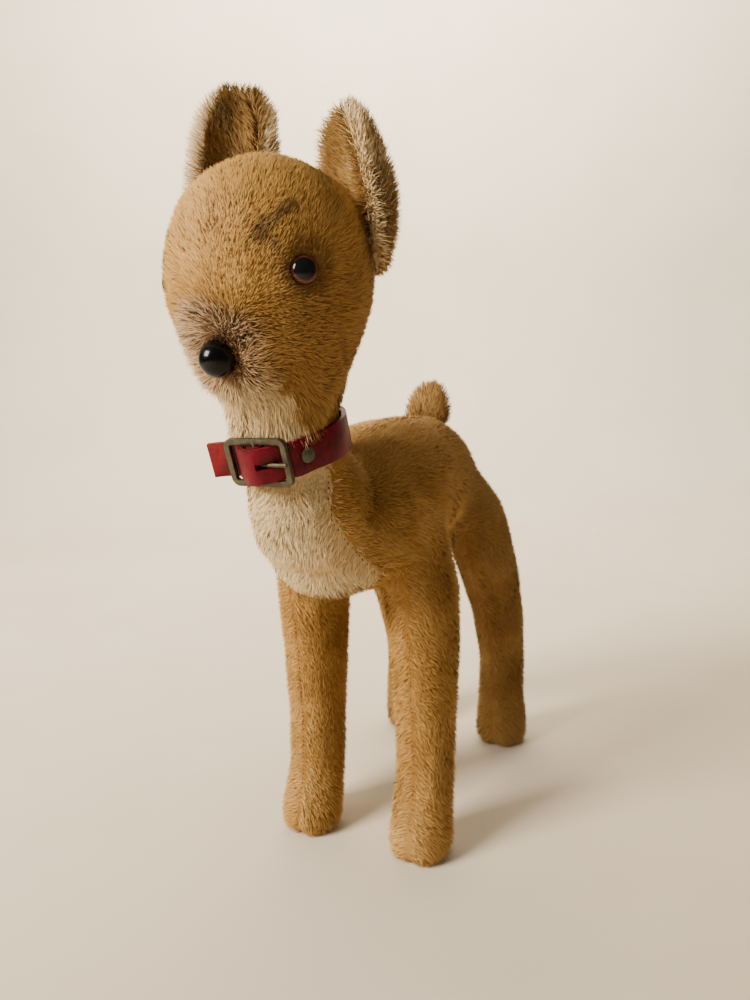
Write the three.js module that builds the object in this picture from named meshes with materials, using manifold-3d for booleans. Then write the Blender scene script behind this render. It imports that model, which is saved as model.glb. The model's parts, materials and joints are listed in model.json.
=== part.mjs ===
// Standing plush dog: mohair panels over wood-wool stuffing, a head that swivels on a disc joint in the neck,
// glass eyes, a ball nose and a leather collar with a centre-bar buckle.
// Millimetres, +Z up. The dog stands on z = 0, looks along -Y, and its left side is +X.
import * as THREE from 'three';
import { mergeVertices } from 'three/addons/utils/BufferGeometryUtils.js';
import Module from 'manifold-3d';

const wasm = await Module();
wasm.setup();

// ---------------------------------------------------------------- driving dimensions
const GAP = 0.3; // clearance between pieces that touch
const SKIN = 2.5; // mohair backing with its pressed pile
const BODY_HEIGHT = 132; // sole to the middle of the torso
const BODY_LENGTH = 122; // chest to rump
const CHEST_Y = -84; // front of the chest
const LEG_SPREAD = 24; // middle of the body to the middle of a leg
const FRONT_LEG_BACK = 43; // front of the chest to the axis of the front legs
const FRONT_LEG_Y = CHEST_Y + FRONT_LEG_BACK;
const REAR_LEG_BEHIND = 16; // rump to the axis of the rear shanks
const REAR_LEG_Y = CHEST_Y + BODY_LENGTH + REAR_LEG_BEHIND;
const FOOT_HALF_WIDTH = 12;
const FOOT_LENGTH = 25;
const NECK_RADIUS = 16.5; // under the collar
const NECK_LEAN = THREE.MathUtils.degToRad(17);
const NECK_AHEAD = 3; // front of the chest to the middle of the neck joint
const NECK_Y = CHEST_Y - NECK_AHEAD;
const NECK_RISE = 30; // neck joint above the middle of the torso
const HEAD_TURN = THREE.MathUtils.degToRad(-4); // the head looks a little to the dog's right
const HEAD_HEIGHT = 83; // neck joint to the crown
const HEAD_HALF_WIDTH = 31.5;
const MUZZLE_REACH = 31.5; // neck joint to the tip of the muzzle
const EAR_LEFT_LENGTH = 49; // this ear is gathered shorter at its root
const EAR_RIGHT_LENGTH = 54;
const EAR_HALF_WIDTH = 17;
const EAR_LAYER = 2.2; // one layer of mohair
const EYE_RADIUS = 3.9;
const NOSE_RADIUS = 5.3;
const SHANK_RADIUS = 0.8; // wire shanks of the eyes and the nose
const TAIL_HALF_WIDTH = 10.5;
const TAIL_LENGTH = 27;
const WIRE_RADIUS = 1.2; // leg armature
const DISC_THICKNESS = 3;
const WASHER_RADIUS = 5;
const WASHER_THICKNESS = 0.8;
const PIN_RADIUS = 1;
const STRAP_WIDTH = 11;
const STRAP_THICKNESS = 1.6;
const TAIL_END = 7.5; // strap beyond the far bar of the buckle
const BAR_RADIUS = 0.9; // centre bar of the buckle
const FRAME_LENGTH = 22;
const FRAME_RAIL = 1.8;
const FRAME_THICKNESS = 1.6;
const PRONG_RADIUS = 0.65;
const RIVET_RADIUS = 2.4;

// ---------------------------------------------------------------- tools
const X_AXIS = new THREE.Vector3(1, 0, 0);
const UP = new THREE.Vector3(0, 0, 1);
const BACK = new THREE.Vector3(0, 1, 0);
const AHEAD = new THREE.Vector3(0, -1, 0);
const REACH = 400; // larger than the whole dog, for cutting blocks

/** Turns a closed three.js geometry into a solid. */
function solid(geometry) {
  const bare = geometry.clone();
  bare.deleteAttribute('normal');
  bare.deleteAttribute('uv');
  const welded = mergeVertices(bare, 1e-4);
  return new wasm.Manifold(new wasm.Mesh({
    numProp: 3,
    vertProperties: new Float32Array(welded.attributes.position.array),
    triVerts: new Uint32Array(welded.index.array),
  }));
}

/** Turns a solid back into a geometry. */
function geometryOf(body) {
  const mesh = body.getMesh();
  const geometry = new THREE.BufferGeometry();
  const points = new Float32Array((mesh.vertProperties.length / mesh.numProp) * 3);
  for (let i = 0; i < points.length / 3; i += 1) {
    for (let k = 0; k < 3; k += 1) {
      points[i * 3 + k] = mesh.vertProperties[i * mesh.numProp + k];
    }
  }
  geometry.setAttribute('position', new THREE.BufferAttribute(points, 3));
  geometry.setIndex(new THREE.BufferAttribute(new Uint32Array(mesh.triVerts), 1));
  geometry.computeVertexNormals();
  return geometry;
}

/** A curve through one value of every station. */
function through(stations, read) {
  return new THREE.CatmullRomCurve3(stations.map(read), false, 'centripetal');
}

/**
 * A closed body through elliptical stations. A station has its middle (x, y, z), its half width `w` along X and
 * its two other radii: `f` towards the section's front (or top) and `b` towards its back (or underside).
 */
function loft(stations, { along = UP, sides = 20, rings = 12 } = {}) {
  const middle = through(stations, (s) => new THREE.Vector3(s.x ?? 0, s.y, s.z));
  const radii = through(stations, (s) => new THREE.Vector3(s.w, s.f, s.b));
  const across = new THREE.Vector3().crossVectors(X_AXIS, along);
  const geometry = new THREE.CylinderGeometry(1, 1, 1, sides, rings, false);
  const position = geometry.attributes.position;
  for (let i = 0; i < position.count; i += 1) {
    const t = position.getY(i) + 0.5;
    const c = middle.getPoint(t);
    const r = radii.getPoint(t);
    const side = position.getZ(i);
    c.addScaledVector(X_AXIS, position.getX(i) * r.x);
    c.addScaledVector(across, side * (side > 0 ? r.y : r.z));
    position.setXYZ(i, c.x, c.y, c.z);
  }
  return solid(geometry);
}

/** The same stations `depth` further in; closed ends move in along the body too. */
function inset(stations, depth, along = UP) {
  const last = stations.length - 1;
  return stations.map((s, i) => {
    const shift = i === 0 ? depth : i === last ? -depth : 0;
    return {
      x: s.x ?? 0,
      y: s.y + along.y * shift,
      z: s.z + along.z * shift,
      w: s.w - depth,
      f: s.f - depth,
      b: s.b - depth,
    };
  });
}

/** A box between two corners. */
function block(low, high) {
  const size = new THREE.Vector3().subVectors(high, low);
  const box = new THREE.BoxGeometry(size.x, size.y, size.z);
  box.translate((low.x + high.x) / 2, (low.y + high.y) / 2, (low.z + high.z) / 2);
  return solid(box);
}

const at = (x, y, z) => new THREE.Vector3(x, y, z);

/** A round bar between two points. */
function rod(from, to, radius, sides = 12) {
  const axis = new THREE.Vector3().subVectors(to, from);
  const bar = new THREE.CylinderGeometry(radius, radius, axis.length(), sides);
  bar.applyQuaternion(new THREE.Quaternion().setFromUnitVectors(BACK, axis.clone().normalize()));
  bar.translate((from.x + to.x) / 2, (from.y + to.y) / 2, (from.z + to.z) / 2);
  return solid(bar);
}

/** A wire of round section along a smooth curve. */
function wire(points, radius, { sides = 3, steps = 18 } = {}) {
  const section = new THREE.Shape();
  section.absarc(0, 0, radius, 0, Math.PI * 2, false);
  return solid(new THREE.ExtrudeGeometry(section, {
    steps,
    curveSegments: sides,
    bevelEnabled: false,
    extrudePath: new THREE.CatmullRomCurve3(points, false, 'centripetal'),
  }));
}

/** A flat outline in the XZ plane, made into a prism that runs along Y between two places. */
function prismAlongY(shape, yFrom, yTo) {
  const geometry = new THREE.ExtrudeGeometry(shape, { depth: yTo - yFrom, bevelEnabled: false, curveSegments: 12 });
  geometry.rotateX(Math.PI / 2);
  geometry.translate(0, yTo, 0);
  return solid(geometry);
}

const merge = (parts) => parts.reduce((a, b) => a.add(b));

const mohair = (color) => new THREE.MeshStandardMaterial({ color, roughness: 0.9, metalness: 0 });
const GOLD = mohair(0xb98545);
const CREAM = mohair(0xdcc8a2);
const WOOD_WOOL = mohair(0xcdb27a);
const HARDBOARD = mohair(0x7a5a3a);
const STEEL = new THREE.MeshStandardMaterial({ color: 0x8b8d90, roughness: 0.4, metalness: 1 });
const BRONZE = new THREE.MeshStandardMaterial({ color: 0x5a4f3f, roughness: 0.45, metalness: 1 });
const GLASS = new THREE.MeshStandardMaterial({ color: 0x1a0d08, roughness: 0.05, metalness: 0 });
const BLACK = new THREE.MeshStandardMaterial({ color: 0x0a0a0a, roughness: 0.12, metalness: 0 });
const LEATHER = new THREE.MeshStandardMaterial({ color: 0x9c0f16, roughness: 0.45, metalness: 0 });

/** A named mesh of a solid. */
function piece(name, body, material) {
  const mesh = new THREE.Mesh(geometryOf(body), material);
  mesh.name = name;
  return mesh;
}

// ---------------------------------------------------------------- torso, neck and legs
/** Station of the torso: `share` is the place from chest to rump, `rise` is above the torso's middle height. */
function torsoStation(share, rise, w, top, bottom) {
  return { y: CHEST_Y + BODY_LENGTH * share, z: BODY_HEIGHT + rise, w, f: top, b: bottom };
}

const torsoStations = [
  torsoStation(0, -7, 9, 10, 9),
  torsoStation(0.04, -7, 19, 19, 16),
  torsoStation(0.13, -6, 27, 26, 22),
  torsoStation(0.26, -3, 31, 30, 25),
  torsoStation(0.4, 0, 31, 31, 24),
  torsoStation(0.56, 1, 28, 31, 22),
  torsoStation(0.72, 1, 27, 31, 22),
  torsoStation(0.87, 0, 25, 30, 24),
  torsoStation(0.96, -3, 17, 21, 18),
  torsoStation(1, -5, 8, 10, 10),
];

const NECK_Z = BODY_HEIGHT + NECK_RISE;
const neckAxis = at(0, -Math.sin(NECK_LEAN), Math.cos(NECK_LEAN));

/** A point on the neck's axis, `along` from the joint, upwards. */
const onNeck = (along) => at(0, NECK_Y, NECK_Z).addScaledVector(neckAxis, along);

/** Station of the neck, square to its axis. */
function neckStation(along, w, f, b) {
  const c = onNeck(along);
  return { y: c.y, z: c.z, w, f, b };
}

const COLLAR_ROOM = 2.5; // round neck beyond each edge of the strap
const COLLAR_ZONE = STRAP_WIDTH / 2 + COLLAR_ROOM; // the neck is round this far each side of the joint
const lowerNeckStations = [
  neckStation(-40, 20, 14, 18),
  neckStation(-28, 21, 17, 24),
  neckStation(-17, 19.5, NECK_RADIUS + 1.5, 21),
  neckStation(-COLLAR_ZONE, NECK_RADIUS, NECK_RADIUS, NECK_RADIUS),
  neckStation(COLLAR_ZONE, NECK_RADIUS, NECK_RADIUS, NECK_RADIUS),
];

/** Stations of a front leg on the dog's `side` (+1 left, -1 right). */
function frontLeg(side) {
  const x = side * LEG_SPREAD;
  const toe = FRONT_LEG_Y - 9;
  const half = FOOT_LENGTH / 2;
  return [
    { x, y: toe, z: 0, w: FOOT_HALF_WIDTH - 2.5, f: half - 2, b: half - 2 },
    { x, y: toe, z: 4, w: FOOT_HALF_WIDTH, f: half, b: half },
    { x, y: toe + 1, z: 11, w: FOOT_HALF_WIDTH, f: half - 0.5, b: half - 1 },
    { x, y: toe + 5, z: 20, w: 11, f: 12, b: 11 },
    { x, y: FRONT_LEG_Y - 1, z: 34, w: 11, f: 12, b: 11 },
    { x, y: FRONT_LEG_Y, z: BODY_HEIGHT * 0.46, w: 12, f: 13, b: 12 },
    { x, y: FRONT_LEG_Y + 1, z: BODY_HEIGHT * 0.65, w: 13, f: 15.5, b: 15 },
    { x: x * 0.95, y: FRONT_LEG_Y, z: BODY_HEIGHT * 0.8, w: 13.5, f: 18, b: 18 },
    { x: x * 0.78, y: FRONT_LEG_Y - 3, z: BODY_HEIGHT * 0.98, w: 13, f: 19, b: 19 },
    { x: x * 0.6, y: FRONT_LEG_Y - 5, z: BODY_HEIGHT * 1.06, w: 8, f: 12, b: 12 },
  ];
}

/** Stations of a rear leg on the dog's `side`. */
function rearLeg(side) {
  const x = side * (LEG_SPREAD + 1);
  const toe = REAR_LEG_Y - 4;
  const half = FOOT_LENGTH / 2 - 0.5;
  return [
    { x, y: toe, z: 0, w: FOOT_HALF_WIDTH - 2.5, f: half - 2, b: half - 2 },
    { x, y: toe, z: 4, w: FOOT_HALF_WIDTH, f: half, b: half },
    { x, y: toe + 0.5, z: 11, w: FOOT_HALF_WIDTH, f: half, b: half - 0.5 },
    { x, y: REAR_LEG_Y - 3, z: 20, w: 11, f: 12, b: 10.5 },
    { x, y: REAR_LEG_Y - 2, z: 36, w: 10.5, f: 12, b: 10 },
    { x, y: REAR_LEG_Y - 2, z: BODY_HEIGHT * 0.41, w: 11, f: 14, b: 11.5 },
    { x, y: REAR_LEG_Y - 12, z: BODY_HEIGHT * 0.6, w: 12, f: 17, b: 14 },
    { x: x * 0.96, y: REAR_LEG_Y - 24, z: BODY_HEIGHT * 0.77, w: 13, f: 21, b: 18 },
    { x: x * 0.82, y: REAR_LEG_Y - 33, z: BODY_HEIGHT * 0.95, w: 12.5, f: 21, b: 20 },
    { x: x * 0.6, y: REAR_LEG_Y - 36, z: BODY_HEIGHT * 1.06, w: 8, f: 12, b: 12 },
  ];
}

const SKIN_DETAIL = { body: 16, leg: 10 }; // sides of the round sections
const STUFFING_DETAIL = { body: 12, leg: 8 };
const STUFFING_SLACK = 1.1; // the coarser stuffing stays clear of the mohair
const legStations = [frontLeg(1), frontLeg(-1), rearLeg(1), rearLeg(-1)];

/** The whole body below the neck joint, `depth` inside the mohair's outer face. */
function bodyForm(depth, detail = SKIN_DETAIL) {
  const torso = loft(inset(torsoStations, depth, BACK), { along: BACK, sides: detail.body, rings: 10 });
  const neck = loft(inset(lowerNeckStations, depth, neckAxis), { along: neckAxis, sides: detail.body, rings: 5 });
  const legs = legStations.map((s) => loft(inset(s, depth), { sides: detail.leg, rings: 8 }));
  const belowCollar = neckHalfSpace(-COLLAR_ZONE, -1);
  const neckBore = neckDisc(-COLLAR_ZONE - 1, COLLAR_ZONE, NECK_RADIUS - depth, detail.body);
  return merge([torso, neck, ...legs]).intersect(belowCollar.add(neckBore));
}

/** Everything on one side of a plane square to the neck: above `along` for sign 1, below it for sign -1. */
function neckHalfSpace(along, sign) {
  const half = new THREE.BoxGeometry(REACH, REACH, REACH);
  half.translate(0, 0, (sign * REACH) / 2);
  half.rotateX(NECK_LEAN);
  const c = onNeck(along);
  half.translate(c.x, c.y, c.z);
  return solid(half);
}

const belowJoint = neckHalfSpace(-GAP / 2, -1);
const bodyOuter = bodyForm(0).intersect(belowJoint);
const bodyInner = bodyForm(SKIN).intersect(neckHalfSpace(DISC_THICKNESS, -1));
const bodySkin = bodyOuter.subtract(bodyInner);

// The cream bib: narrow under the collar, wide over the chest, and round at its lower edge.
const BIB_TOP_HALF = 15;
const BIB_LOW_HALF = 21;
const BIB_LOW = BODY_HEIGHT - 29;
const BIB_CORNER = 8;
const BIB_BEHIND = 4; // the bib reaches this far behind the line of the neck

/** The bib's outline from the front, `grow` larger all round. */
function bibOutline(grow) {
  const top = BIB_TOP_HALF + grow;
  const low = BIB_LOW_HALF + grow;
  const edge = BIB_LOW - grow;
  const shape = new THREE.Shape();
  shape.moveTo(-top, NECK_Z + 20);
  shape.lineTo(-top, BODY_HEIGHT + 5);
  shape.lineTo(-low, BIB_LOW + BIB_CORNER);
  shape.quadraticCurveTo(-low, edge, -low + BIB_CORNER, edge);
  shape.lineTo(low - BIB_CORNER, edge);
  shape.quadraticCurveTo(low, edge, low, BIB_LOW + BIB_CORNER);
  shape.lineTo(top, BODY_HEIGHT + 5);
  shape.lineTo(top, NECK_Z + 20);
  shape.closePath();
  return shape;
}

const FAR_AHEAD = -REACH / 2;

/** Everything ahead of a plane that runs across the dog along the neck, `behind` the neck's axis. */
function aheadOfNeck(behind) {
  const half = new THREE.BoxGeometry(REACH, REACH, REACH);
  half.translate(0, behind - REACH / 2, 0);
  half.rotateX(NECK_LEAN);
  const c = onNeck(0);
  half.translate(c.x, c.y, c.z);
  return solid(half);
}

const bibZone = prismAlongY(bibOutline(0), FAR_AHEAD, 0).intersect(aheadOfNeck(BIB_BEHIND));
const bibZoneWide = prismAlongY(bibOutline(GAP), FAR_AHEAD, 0).intersect(aheadOfNeck(BIB_BEHIND + GAP));

// The belly gusset carries the inner halves of all four legs. Its seams follow the middles of the legs.
const GUSSET_TOP = BODY_HEIGHT - 17;
const gussetZone = block(at(-LEG_SPREAD, -REACH, -REACH), at(LEG_SPREAD, REACH, GUSSET_TOP));
const gussetZoneWide = block(
  at(-LEG_SPREAD - GAP, -REACH, -REACH),
  at(LEG_SPREAD + GAP, REACH, GUSSET_TOP + GAP),
);
const bodySides = bodySkin.subtract(gussetZoneWide).subtract(bibZoneWide);
const leftHalf = block(at(GAP / 2, -REACH, -REACH), at(REACH, REACH, REACH));
const rightHalf = block(at(-REACH, -REACH, -REACH), at(-GAP / 2, REACH, REACH));

// The tail is a flat tuft, sewn upright on the end of the back.
const TAIL_Y = CHEST_Y + BODY_LENGTH - 13;
const TAIL_FOOT = BODY_HEIGHT + 18;
const tailStations = [
  { y: TAIL_Y - 4, z: TAIL_FOOT, w: TAIL_HALF_WIDTH - 1, f: 6, b: 6 },
  { y: TAIL_Y - 1, z: TAIL_FOOT + TAIL_LENGTH * 0.4, w: TAIL_HALF_WIDTH, f: 6.5, b: 6 },
  { y: TAIL_Y + 2, z: TAIL_FOOT + TAIL_LENGTH * 0.75, w: TAIL_HALF_WIDTH - 1.5, f: 5.5, b: 5 },
  { y: TAIL_Y + 4, z: TAIL_FOOT + TAIL_LENGTH * 0.95, w: TAIL_HALF_WIDTH - 5, f: 3.5, b: 3 },
  { y: TAIL_Y + 4.5, z: TAIL_FOOT + TAIL_LENGTH, w: 2, f: 1.5, b: 1.5 },
];
const tailForm = loft(tailStations, { sides: 14, rings: 8 });
const tail = tailForm.subtract(bodyForm(-GAP));

// ---------------------------------------------------------------- leg armature
const WIRE_FOOT = SKIN + 1.5;

/** An upside-down U of wire that runs down both legs of a pair. */
function armature(stations, bridgeY) {
  const down = stations.slice(1, -2).map((s) => at(s.x, s.y, Math.max(s.z, WIRE_FOOT)));
  const shoulder = at(LEG_SPREAD * 0.55, bridgeY, BODY_HEIGHT + 4);
  const left = [...down, shoulder];
  const right = left.map((p) => at(-p.x, p.y, p.z)).reverse();
  return [...left, at(0, bridgeY, BODY_HEIGHT + 8), ...right];
}

const frontWirePath = armature(frontLeg(1), FRONT_LEG_Y - 2);
const rearWirePath = armature(rearLeg(1), REAR_LEG_Y - 34);
const frontWire = wire(frontWirePath, WIRE_RADIUS);
const rearWire = wire(rearWirePath, WIRE_RADIUS);

/** The channel of a leg wire, open through the underside of the stuffing of each foot. */
function channel(path) {
  const first = path[0];
  const last = path[path.length - 1];
  const ends = [first, last].map((p) => rod(at(p.x, p.y, 0), at(p.x, p.y, p.z + 2), WIRE_RADIUS + GAP));
  return merge([wire(path, WIRE_RADIUS + GAP), ...ends]);
}

// ---------------------------------------------------------------- neck joint
/** A disc square to the neck, between two places on its axis. */
function neckDisc(from, to, radius, sides = 16) {
  return rod(onNeck(from), onNeck(to), radius, sides);
}

const DISC_RADIUS = NECK_RADIUS - SKIN - GAP;
const PIN_HOLE = PIN_RADIUS + GAP;
const pinHole = neckDisc(-REACH / 10, REACH / 10, PIN_HOLE, 12);
const bodyDiscTop = -GAP / 2;
const bodyDiscLow = bodyDiscTop - DISC_THICKNESS;
const headDiscLow = GAP / 2;
const headDiscTop = headDiscLow + DISC_THICKNESS;
const bodyWasherTop = bodyDiscLow - GAP;
const bodyWasherLow = bodyWasherTop - WASHER_THICKNESS;
const headWasherLow = headDiscTop + GAP;
const headWasherTop = headWasherLow + WASHER_THICKNESS;
const bodyDisc = neckDisc(bodyDiscLow, bodyDiscTop, DISC_RADIUS).subtract(pinHole);
const headDisc = neckDisc(headDiscLow, headDiscTop, DISC_RADIUS).subtract(pinHole);
const bodyWasher = neckDisc(bodyWasherLow, bodyWasherTop, WASHER_RADIUS, 16).subtract(pinHole);
const headWasher = neckDisc(headWasherLow, headWasherTop, WASHER_RADIUS, 16).subtract(pinHole);

/** A cotter pin: a straight shank, a round head above the upper washer, and two legs curled under the lower one. */
function cotterPin() {
  const headLow = headWasherTop + GAP;
  const legsTop = bodyWasherLow - GAP;
  const curl = WASHER_RADIUS - PIN_RADIUS;
  const shank = neckDisc(legsTop - 1, headLow + 1, PIN_RADIUS, 12);
  const head = neckDisc(headLow, headLow + 2, PIN_RADIUS * 2.2, 16);
  const legRadius = PIN_RADIUS * 0.7;
  const legs = [1, -1].map((side) => {
    const points = [0, 0.35, 0.7, 1].map((t) => {
      const bend = t * Math.PI * 0.75;
      const p = onNeck(legsTop - legRadius - PIN_RADIUS - Math.sin(bend) * curl * 0.5);
      p.x = side * curl * t;
      return p;
    });
    return wire(points, legRadius, { steps: 6 });
  });
  const knot = neckDisc(legsTop - 2 * PIN_RADIUS - legRadius, legsTop - 0.5, PIN_RADIUS, 12);
  return merge([shank, head, knot, ...legs]);
}

const LEG_POCKET = 8; // free depth for the pin's curled legs
const HEAD_POCKET = 4; // free height for the pin's head
const bodyPocket = neckDisc(bodyWasherLow - LEG_POCKET, DISC_THICKNESS, WASHER_RADIUS + 1, 12);
const bodyDiscRoom = neckDisc(bodyDiscLow - GAP, DISC_THICKNESS, NECK_RADIUS + 2);
const bodyStuffing = bodyForm(SKIN + GAP + STUFFING_SLACK, STUFFING_DETAIL)
  .intersect(neckHalfSpace(bodyDiscLow - GAP, -1))
  .subtract(bodyPocket)
  .subtract(bodyDiscRoom)
  .subtract(channel(frontWirePath))
  .subtract(channel(rearWirePath));

// ---------------------------------------------------------------- head
/** Station of the head: `rise` above the neck joint and `ahead` of it. */
function headStation(rise, ahead, w, f, b) {
  return { y: NECK_Y - ahead, z: NECK_Z + rise, w, f, b };
}

const W = HEAD_HALF_WIDTH;
const skullStations = [
  headStation(-COLLAR_ZONE, -2, NECK_RADIUS - 2, NECK_RADIUS - 2, NECK_RADIUS - 2),
  headStation(HEAD_HEIGHT * 0.145, 4, NECK_RADIUS + 1.5, NECK_RADIUS + 2.5, NECK_RADIUS + 1.5),
  headStation(HEAD_HEIGHT * 0.31, 7, W - 6.5, 26, 23.5),
  headStation(HEAD_HEIGHT * 0.46, 8, W - 1, 31, 30),
  headStation(HEAD_HEIGHT * 0.6, 8, W, 32, 32),
  headStation(HEAD_HEIGHT * 0.75, 8, W - 1.5, 30, 31),
  headStation(HEAD_HEIGHT * 0.88, 8, W - 8, 24, 25),
  headStation(HEAD_HEIGHT * 0.965, 8, W - 18, 14, 15),
  headStation(HEAD_HEIGHT, 8, 5, 5, 5),
];

// The muzzle runs forward and slightly down from the middle of the head.
const muzzleAlong = at(0, -0.94, -0.34).normalize();
const muzzleStations = [
  { y: NECK_Y - 4, z: NECK_Z + 34, w: 24, f: 22, b: 20 },
  { y: NECK_Y - 16, z: NECK_Z + 31, w: 22, f: 19, b: 18 },
  { y: NECK_Y - MUZZLE_REACH + 8, z: NECK_Z + 26.5, w: 18, f: 15, b: 15 },
  { y: NECK_Y - MUZZLE_REACH + 2, z: NECK_Z + 24, w: 13.5, f: 12, b: 11.5 },
  { y: NECK_Y - MUZZLE_REACH, z: NECK_Z + 23, w: 6.5, f: 6, b: 5.5 },
];

/** The upper neck, round and square to the neck's axis. */
const upperNeckStations = [
  neckStation(-COLLAR_ZONE, NECK_RADIUS, NECK_RADIUS, NECK_RADIUS),
  neckStation(COLLAR_ZONE, NECK_RADIUS, NECK_RADIUS, NECK_RADIUS),
  neckStation(24, NECK_RADIUS - 1, NECK_RADIUS - 2, NECK_RADIUS + 1),
];

/** The whole head above the neck joint, `depth` inside the mohair's outer face. */
function headForm(depth, detail = SKIN_DETAIL) {
  const skull = loft(inset(skullStations, depth), { sides: detail.body, rings: 10 });
  const muzzle = loft(inset(muzzleStations, depth, muzzleAlong), {
    along: muzzleAlong, sides: detail.body - 2, rings: 5,
  });
  const neck = loft(inset(upperNeckStations, depth, neckAxis), { along: neckAxis, sides: detail.body, rings: 3 });
  const bore = neckDisc(-COLLAR_ZONE, COLLAR_ZONE + 1, NECK_RADIUS - depth, detail.body);
  return merge([skull, muzzle]).intersect(neckHalfSpace(COLLAR_ZONE, 1).add(bore)).add(neck);
}

const aboveJoint = neckHalfSpace(GAP / 2, 1);
const headOuter = headForm(0).intersect(aboveJoint);
const headInner = headForm(SKIN).intersect(neckHalfSpace(-DISC_THICKNESS, 1));
const headShell = headOuter.subtract(headInner);
const headClear = headForm(-GAP);

// The glass eyes sit in the sides of the face, a little sunk into the pile.
const EYE_RISE = HEAD_HEIGHT * 0.57;
const EYE_AHEAD = 25.5;
const EYE_OUT = W - 6.7;
const eyeFacing = (side) => at(side * 0.72, -0.69, 0.06).normalize();

/** A glass eye with its domed face and its looped wire shank. */
function eye(side, grow) {
  const c = at(side * EYE_OUT, NECK_Y - EYE_AHEAD, NECK_Z + EYE_RISE);
  const facing = eyeFacing(side);
  const ball = new THREE.SphereGeometry(EYE_RADIUS + grow, 14, 8);
  ball.scale(1, 1, 0.62);
  ball.applyQuaternion(new THREE.Quaternion().setFromUnitVectors(UP, facing));
  ball.translate(c.x, c.y, c.z);
  const inner = c.clone().addScaledVector(facing, -9);
  const middle = c.clone().addScaledVector(facing, -1);
  return solid(ball).add(rod(inner, middle, SHANK_RADIUS + grow, 10));
}

// The ball nose caps the muzzle, on a shank that runs back into the stuffing.
const NOSE_RISE = 24.5;
const NOSE_AHEAD = MUZZLE_REACH + 2;

/** The ball nose with its shank. */
function nose(grow) {
  const c = at(0, NECK_Y - NOSE_AHEAD, NECK_Z + NOSE_RISE);
  const ball = new THREE.SphereGeometry(NOSE_RADIUS + grow, 18, 10);
  ball.translate(c.x, c.y, c.z);
  const inner = c.clone().addScaledVector(AHEAD, -14);
  return solid(ball).add(rod(inner, c, SHANK_RADIUS + grow, 10));
}

const headPockets = merge([eye(1, GAP), eye(-1, GAP), nose(GAP)]);
const headSkin = headShell.subtract(headPockets);
const pinHeadPocket = neckDisc(-DISC_THICKNESS, headWasherTop + HEAD_POCKET, WASHER_RADIUS + 1, 12);
const headStuffing = headForm(SKIN + GAP + STUFFING_SLACK, STUFFING_DETAIL)
  .intersect(neckHalfSpace(headDiscTop + GAP, 1))
  .subtract(pinHeadPocket)
  .subtract(headPockets);

// Panels of the head: a gusset from the nose over the crown, a cream chin and throat, and the two sides.
const HEAD_GUSSET_HALF = 10;
const CHIN_HALF = 13;
const MOUTH_RISE = 15;
const gussetRun = block(
  at(-HEAD_GUSSET_HALF, -REACH, NECK_Z + MOUTH_RISE),
  at(HEAD_GUSSET_HALF, REACH, REACH),
);
const chinRun = block(
  at(-CHIN_HALF, -REACH, -REACH),
  at(CHIN_HALF, NECK_Y - 6, NECK_Z + MOUTH_RISE - GAP),
);
const gussetCut = block(
  at(-HEAD_GUSSET_HALF - GAP, -REACH, NECK_Z + MOUTH_RISE - GAP),
  at(HEAD_GUSSET_HALF + GAP, REACH, REACH),
);
const chinCut = block(
  at(-CHIN_HALF - GAP, -REACH, -REACH),
  at(CHIN_HALF + GAP, NECK_Y - 6 + GAP, NECK_Z + MOUTH_RISE),
);
const headSides = headSkin.subtract(gussetCut).subtract(chinCut);

// ---------------------------------------------------------------- ears
const EAR_CUP = 12; // radius of the ear's cupped section
const EAR_SEAM = 0.6; // between the two layers of an ear
const EAR_BOW = 8; // how far the middle of an ear bends back between its root and its tip
// The two ears are sewn on by hand and stand unevenly.
const EAR_LEFT = {
  side: 1,
  length: EAR_LEFT_LENGTH,
  out: HEAD_HALF_WIDTH - 13,
  ahead: 4,
  rise: HEAD_HEIGHT - 36,
  inward: THREE.MathUtils.degToRad(12),
  turn: THREE.MathUtils.degToRad(32),
};
const EAR_RIGHT = {
  side: -1,
  length: EAR_RIGHT_LENGTH,
  out: HEAD_HALF_WIDTH - 2.5,
  ahead: 7,
  rise: HEAD_HEIGHT - 27,
  inward: THREE.MathUtils.degToRad(11),
  turn: THREE.MathUtils.degToRad(10),
};
const EAR_BACKWARD = THREE.MathUtils.degToRad(3); // the tips lean back
const EAR_WIDEST = 0.56; // share of the length at which the leaf is widest
const EAR_BLUNT = 0.03; // keeps the leaf's two ends from closing to a point

/** One layer of an ear: a cupped leaf that opens forwards, between two distances from its cup's axis. */
function earLayer(ear, innerRadius, outerRadius) {
  const geometry = new THREE.BoxGeometry(1, 1, 1, 8, 9, 1);
  const position = geometry.attributes.position;
  for (let i = 0; i < position.count; i += 1) {
    const v = position.getY(i) + 0.5;
    const reach = EAR_BLUNT + (v < EAR_WIDEST ? EAR_WIDEST : 1 - EAR_WIDEST);
    const half = EAR_HALF_WIDTH * Math.sqrt(1 - ((v - EAR_WIDEST) / reach) ** 2);
    const radius = position.getZ(i) > 0 ? innerRadius : outerRadius;
    const angle = (position.getX(i) * 2 * half) / EAR_CUP;
    const bow = EAR_BOW * 4 * v * (1 - v);
    position.setXYZ(i, Math.sin(angle) * radius, Math.cos(angle) * radius + bow, v * ear.length);
  }
  geometry.rotateX(-EAR_BACKWARD);
  geometry.rotateZ(-ear.side * ear.turn);
  geometry.rotateY(-ear.side * ear.inward);
  geometry.translate(ear.side * ear.out, NECK_Y - ear.ahead, NECK_Z + ear.rise);
  return solid(geometry).subtract(headClear);
}

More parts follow.
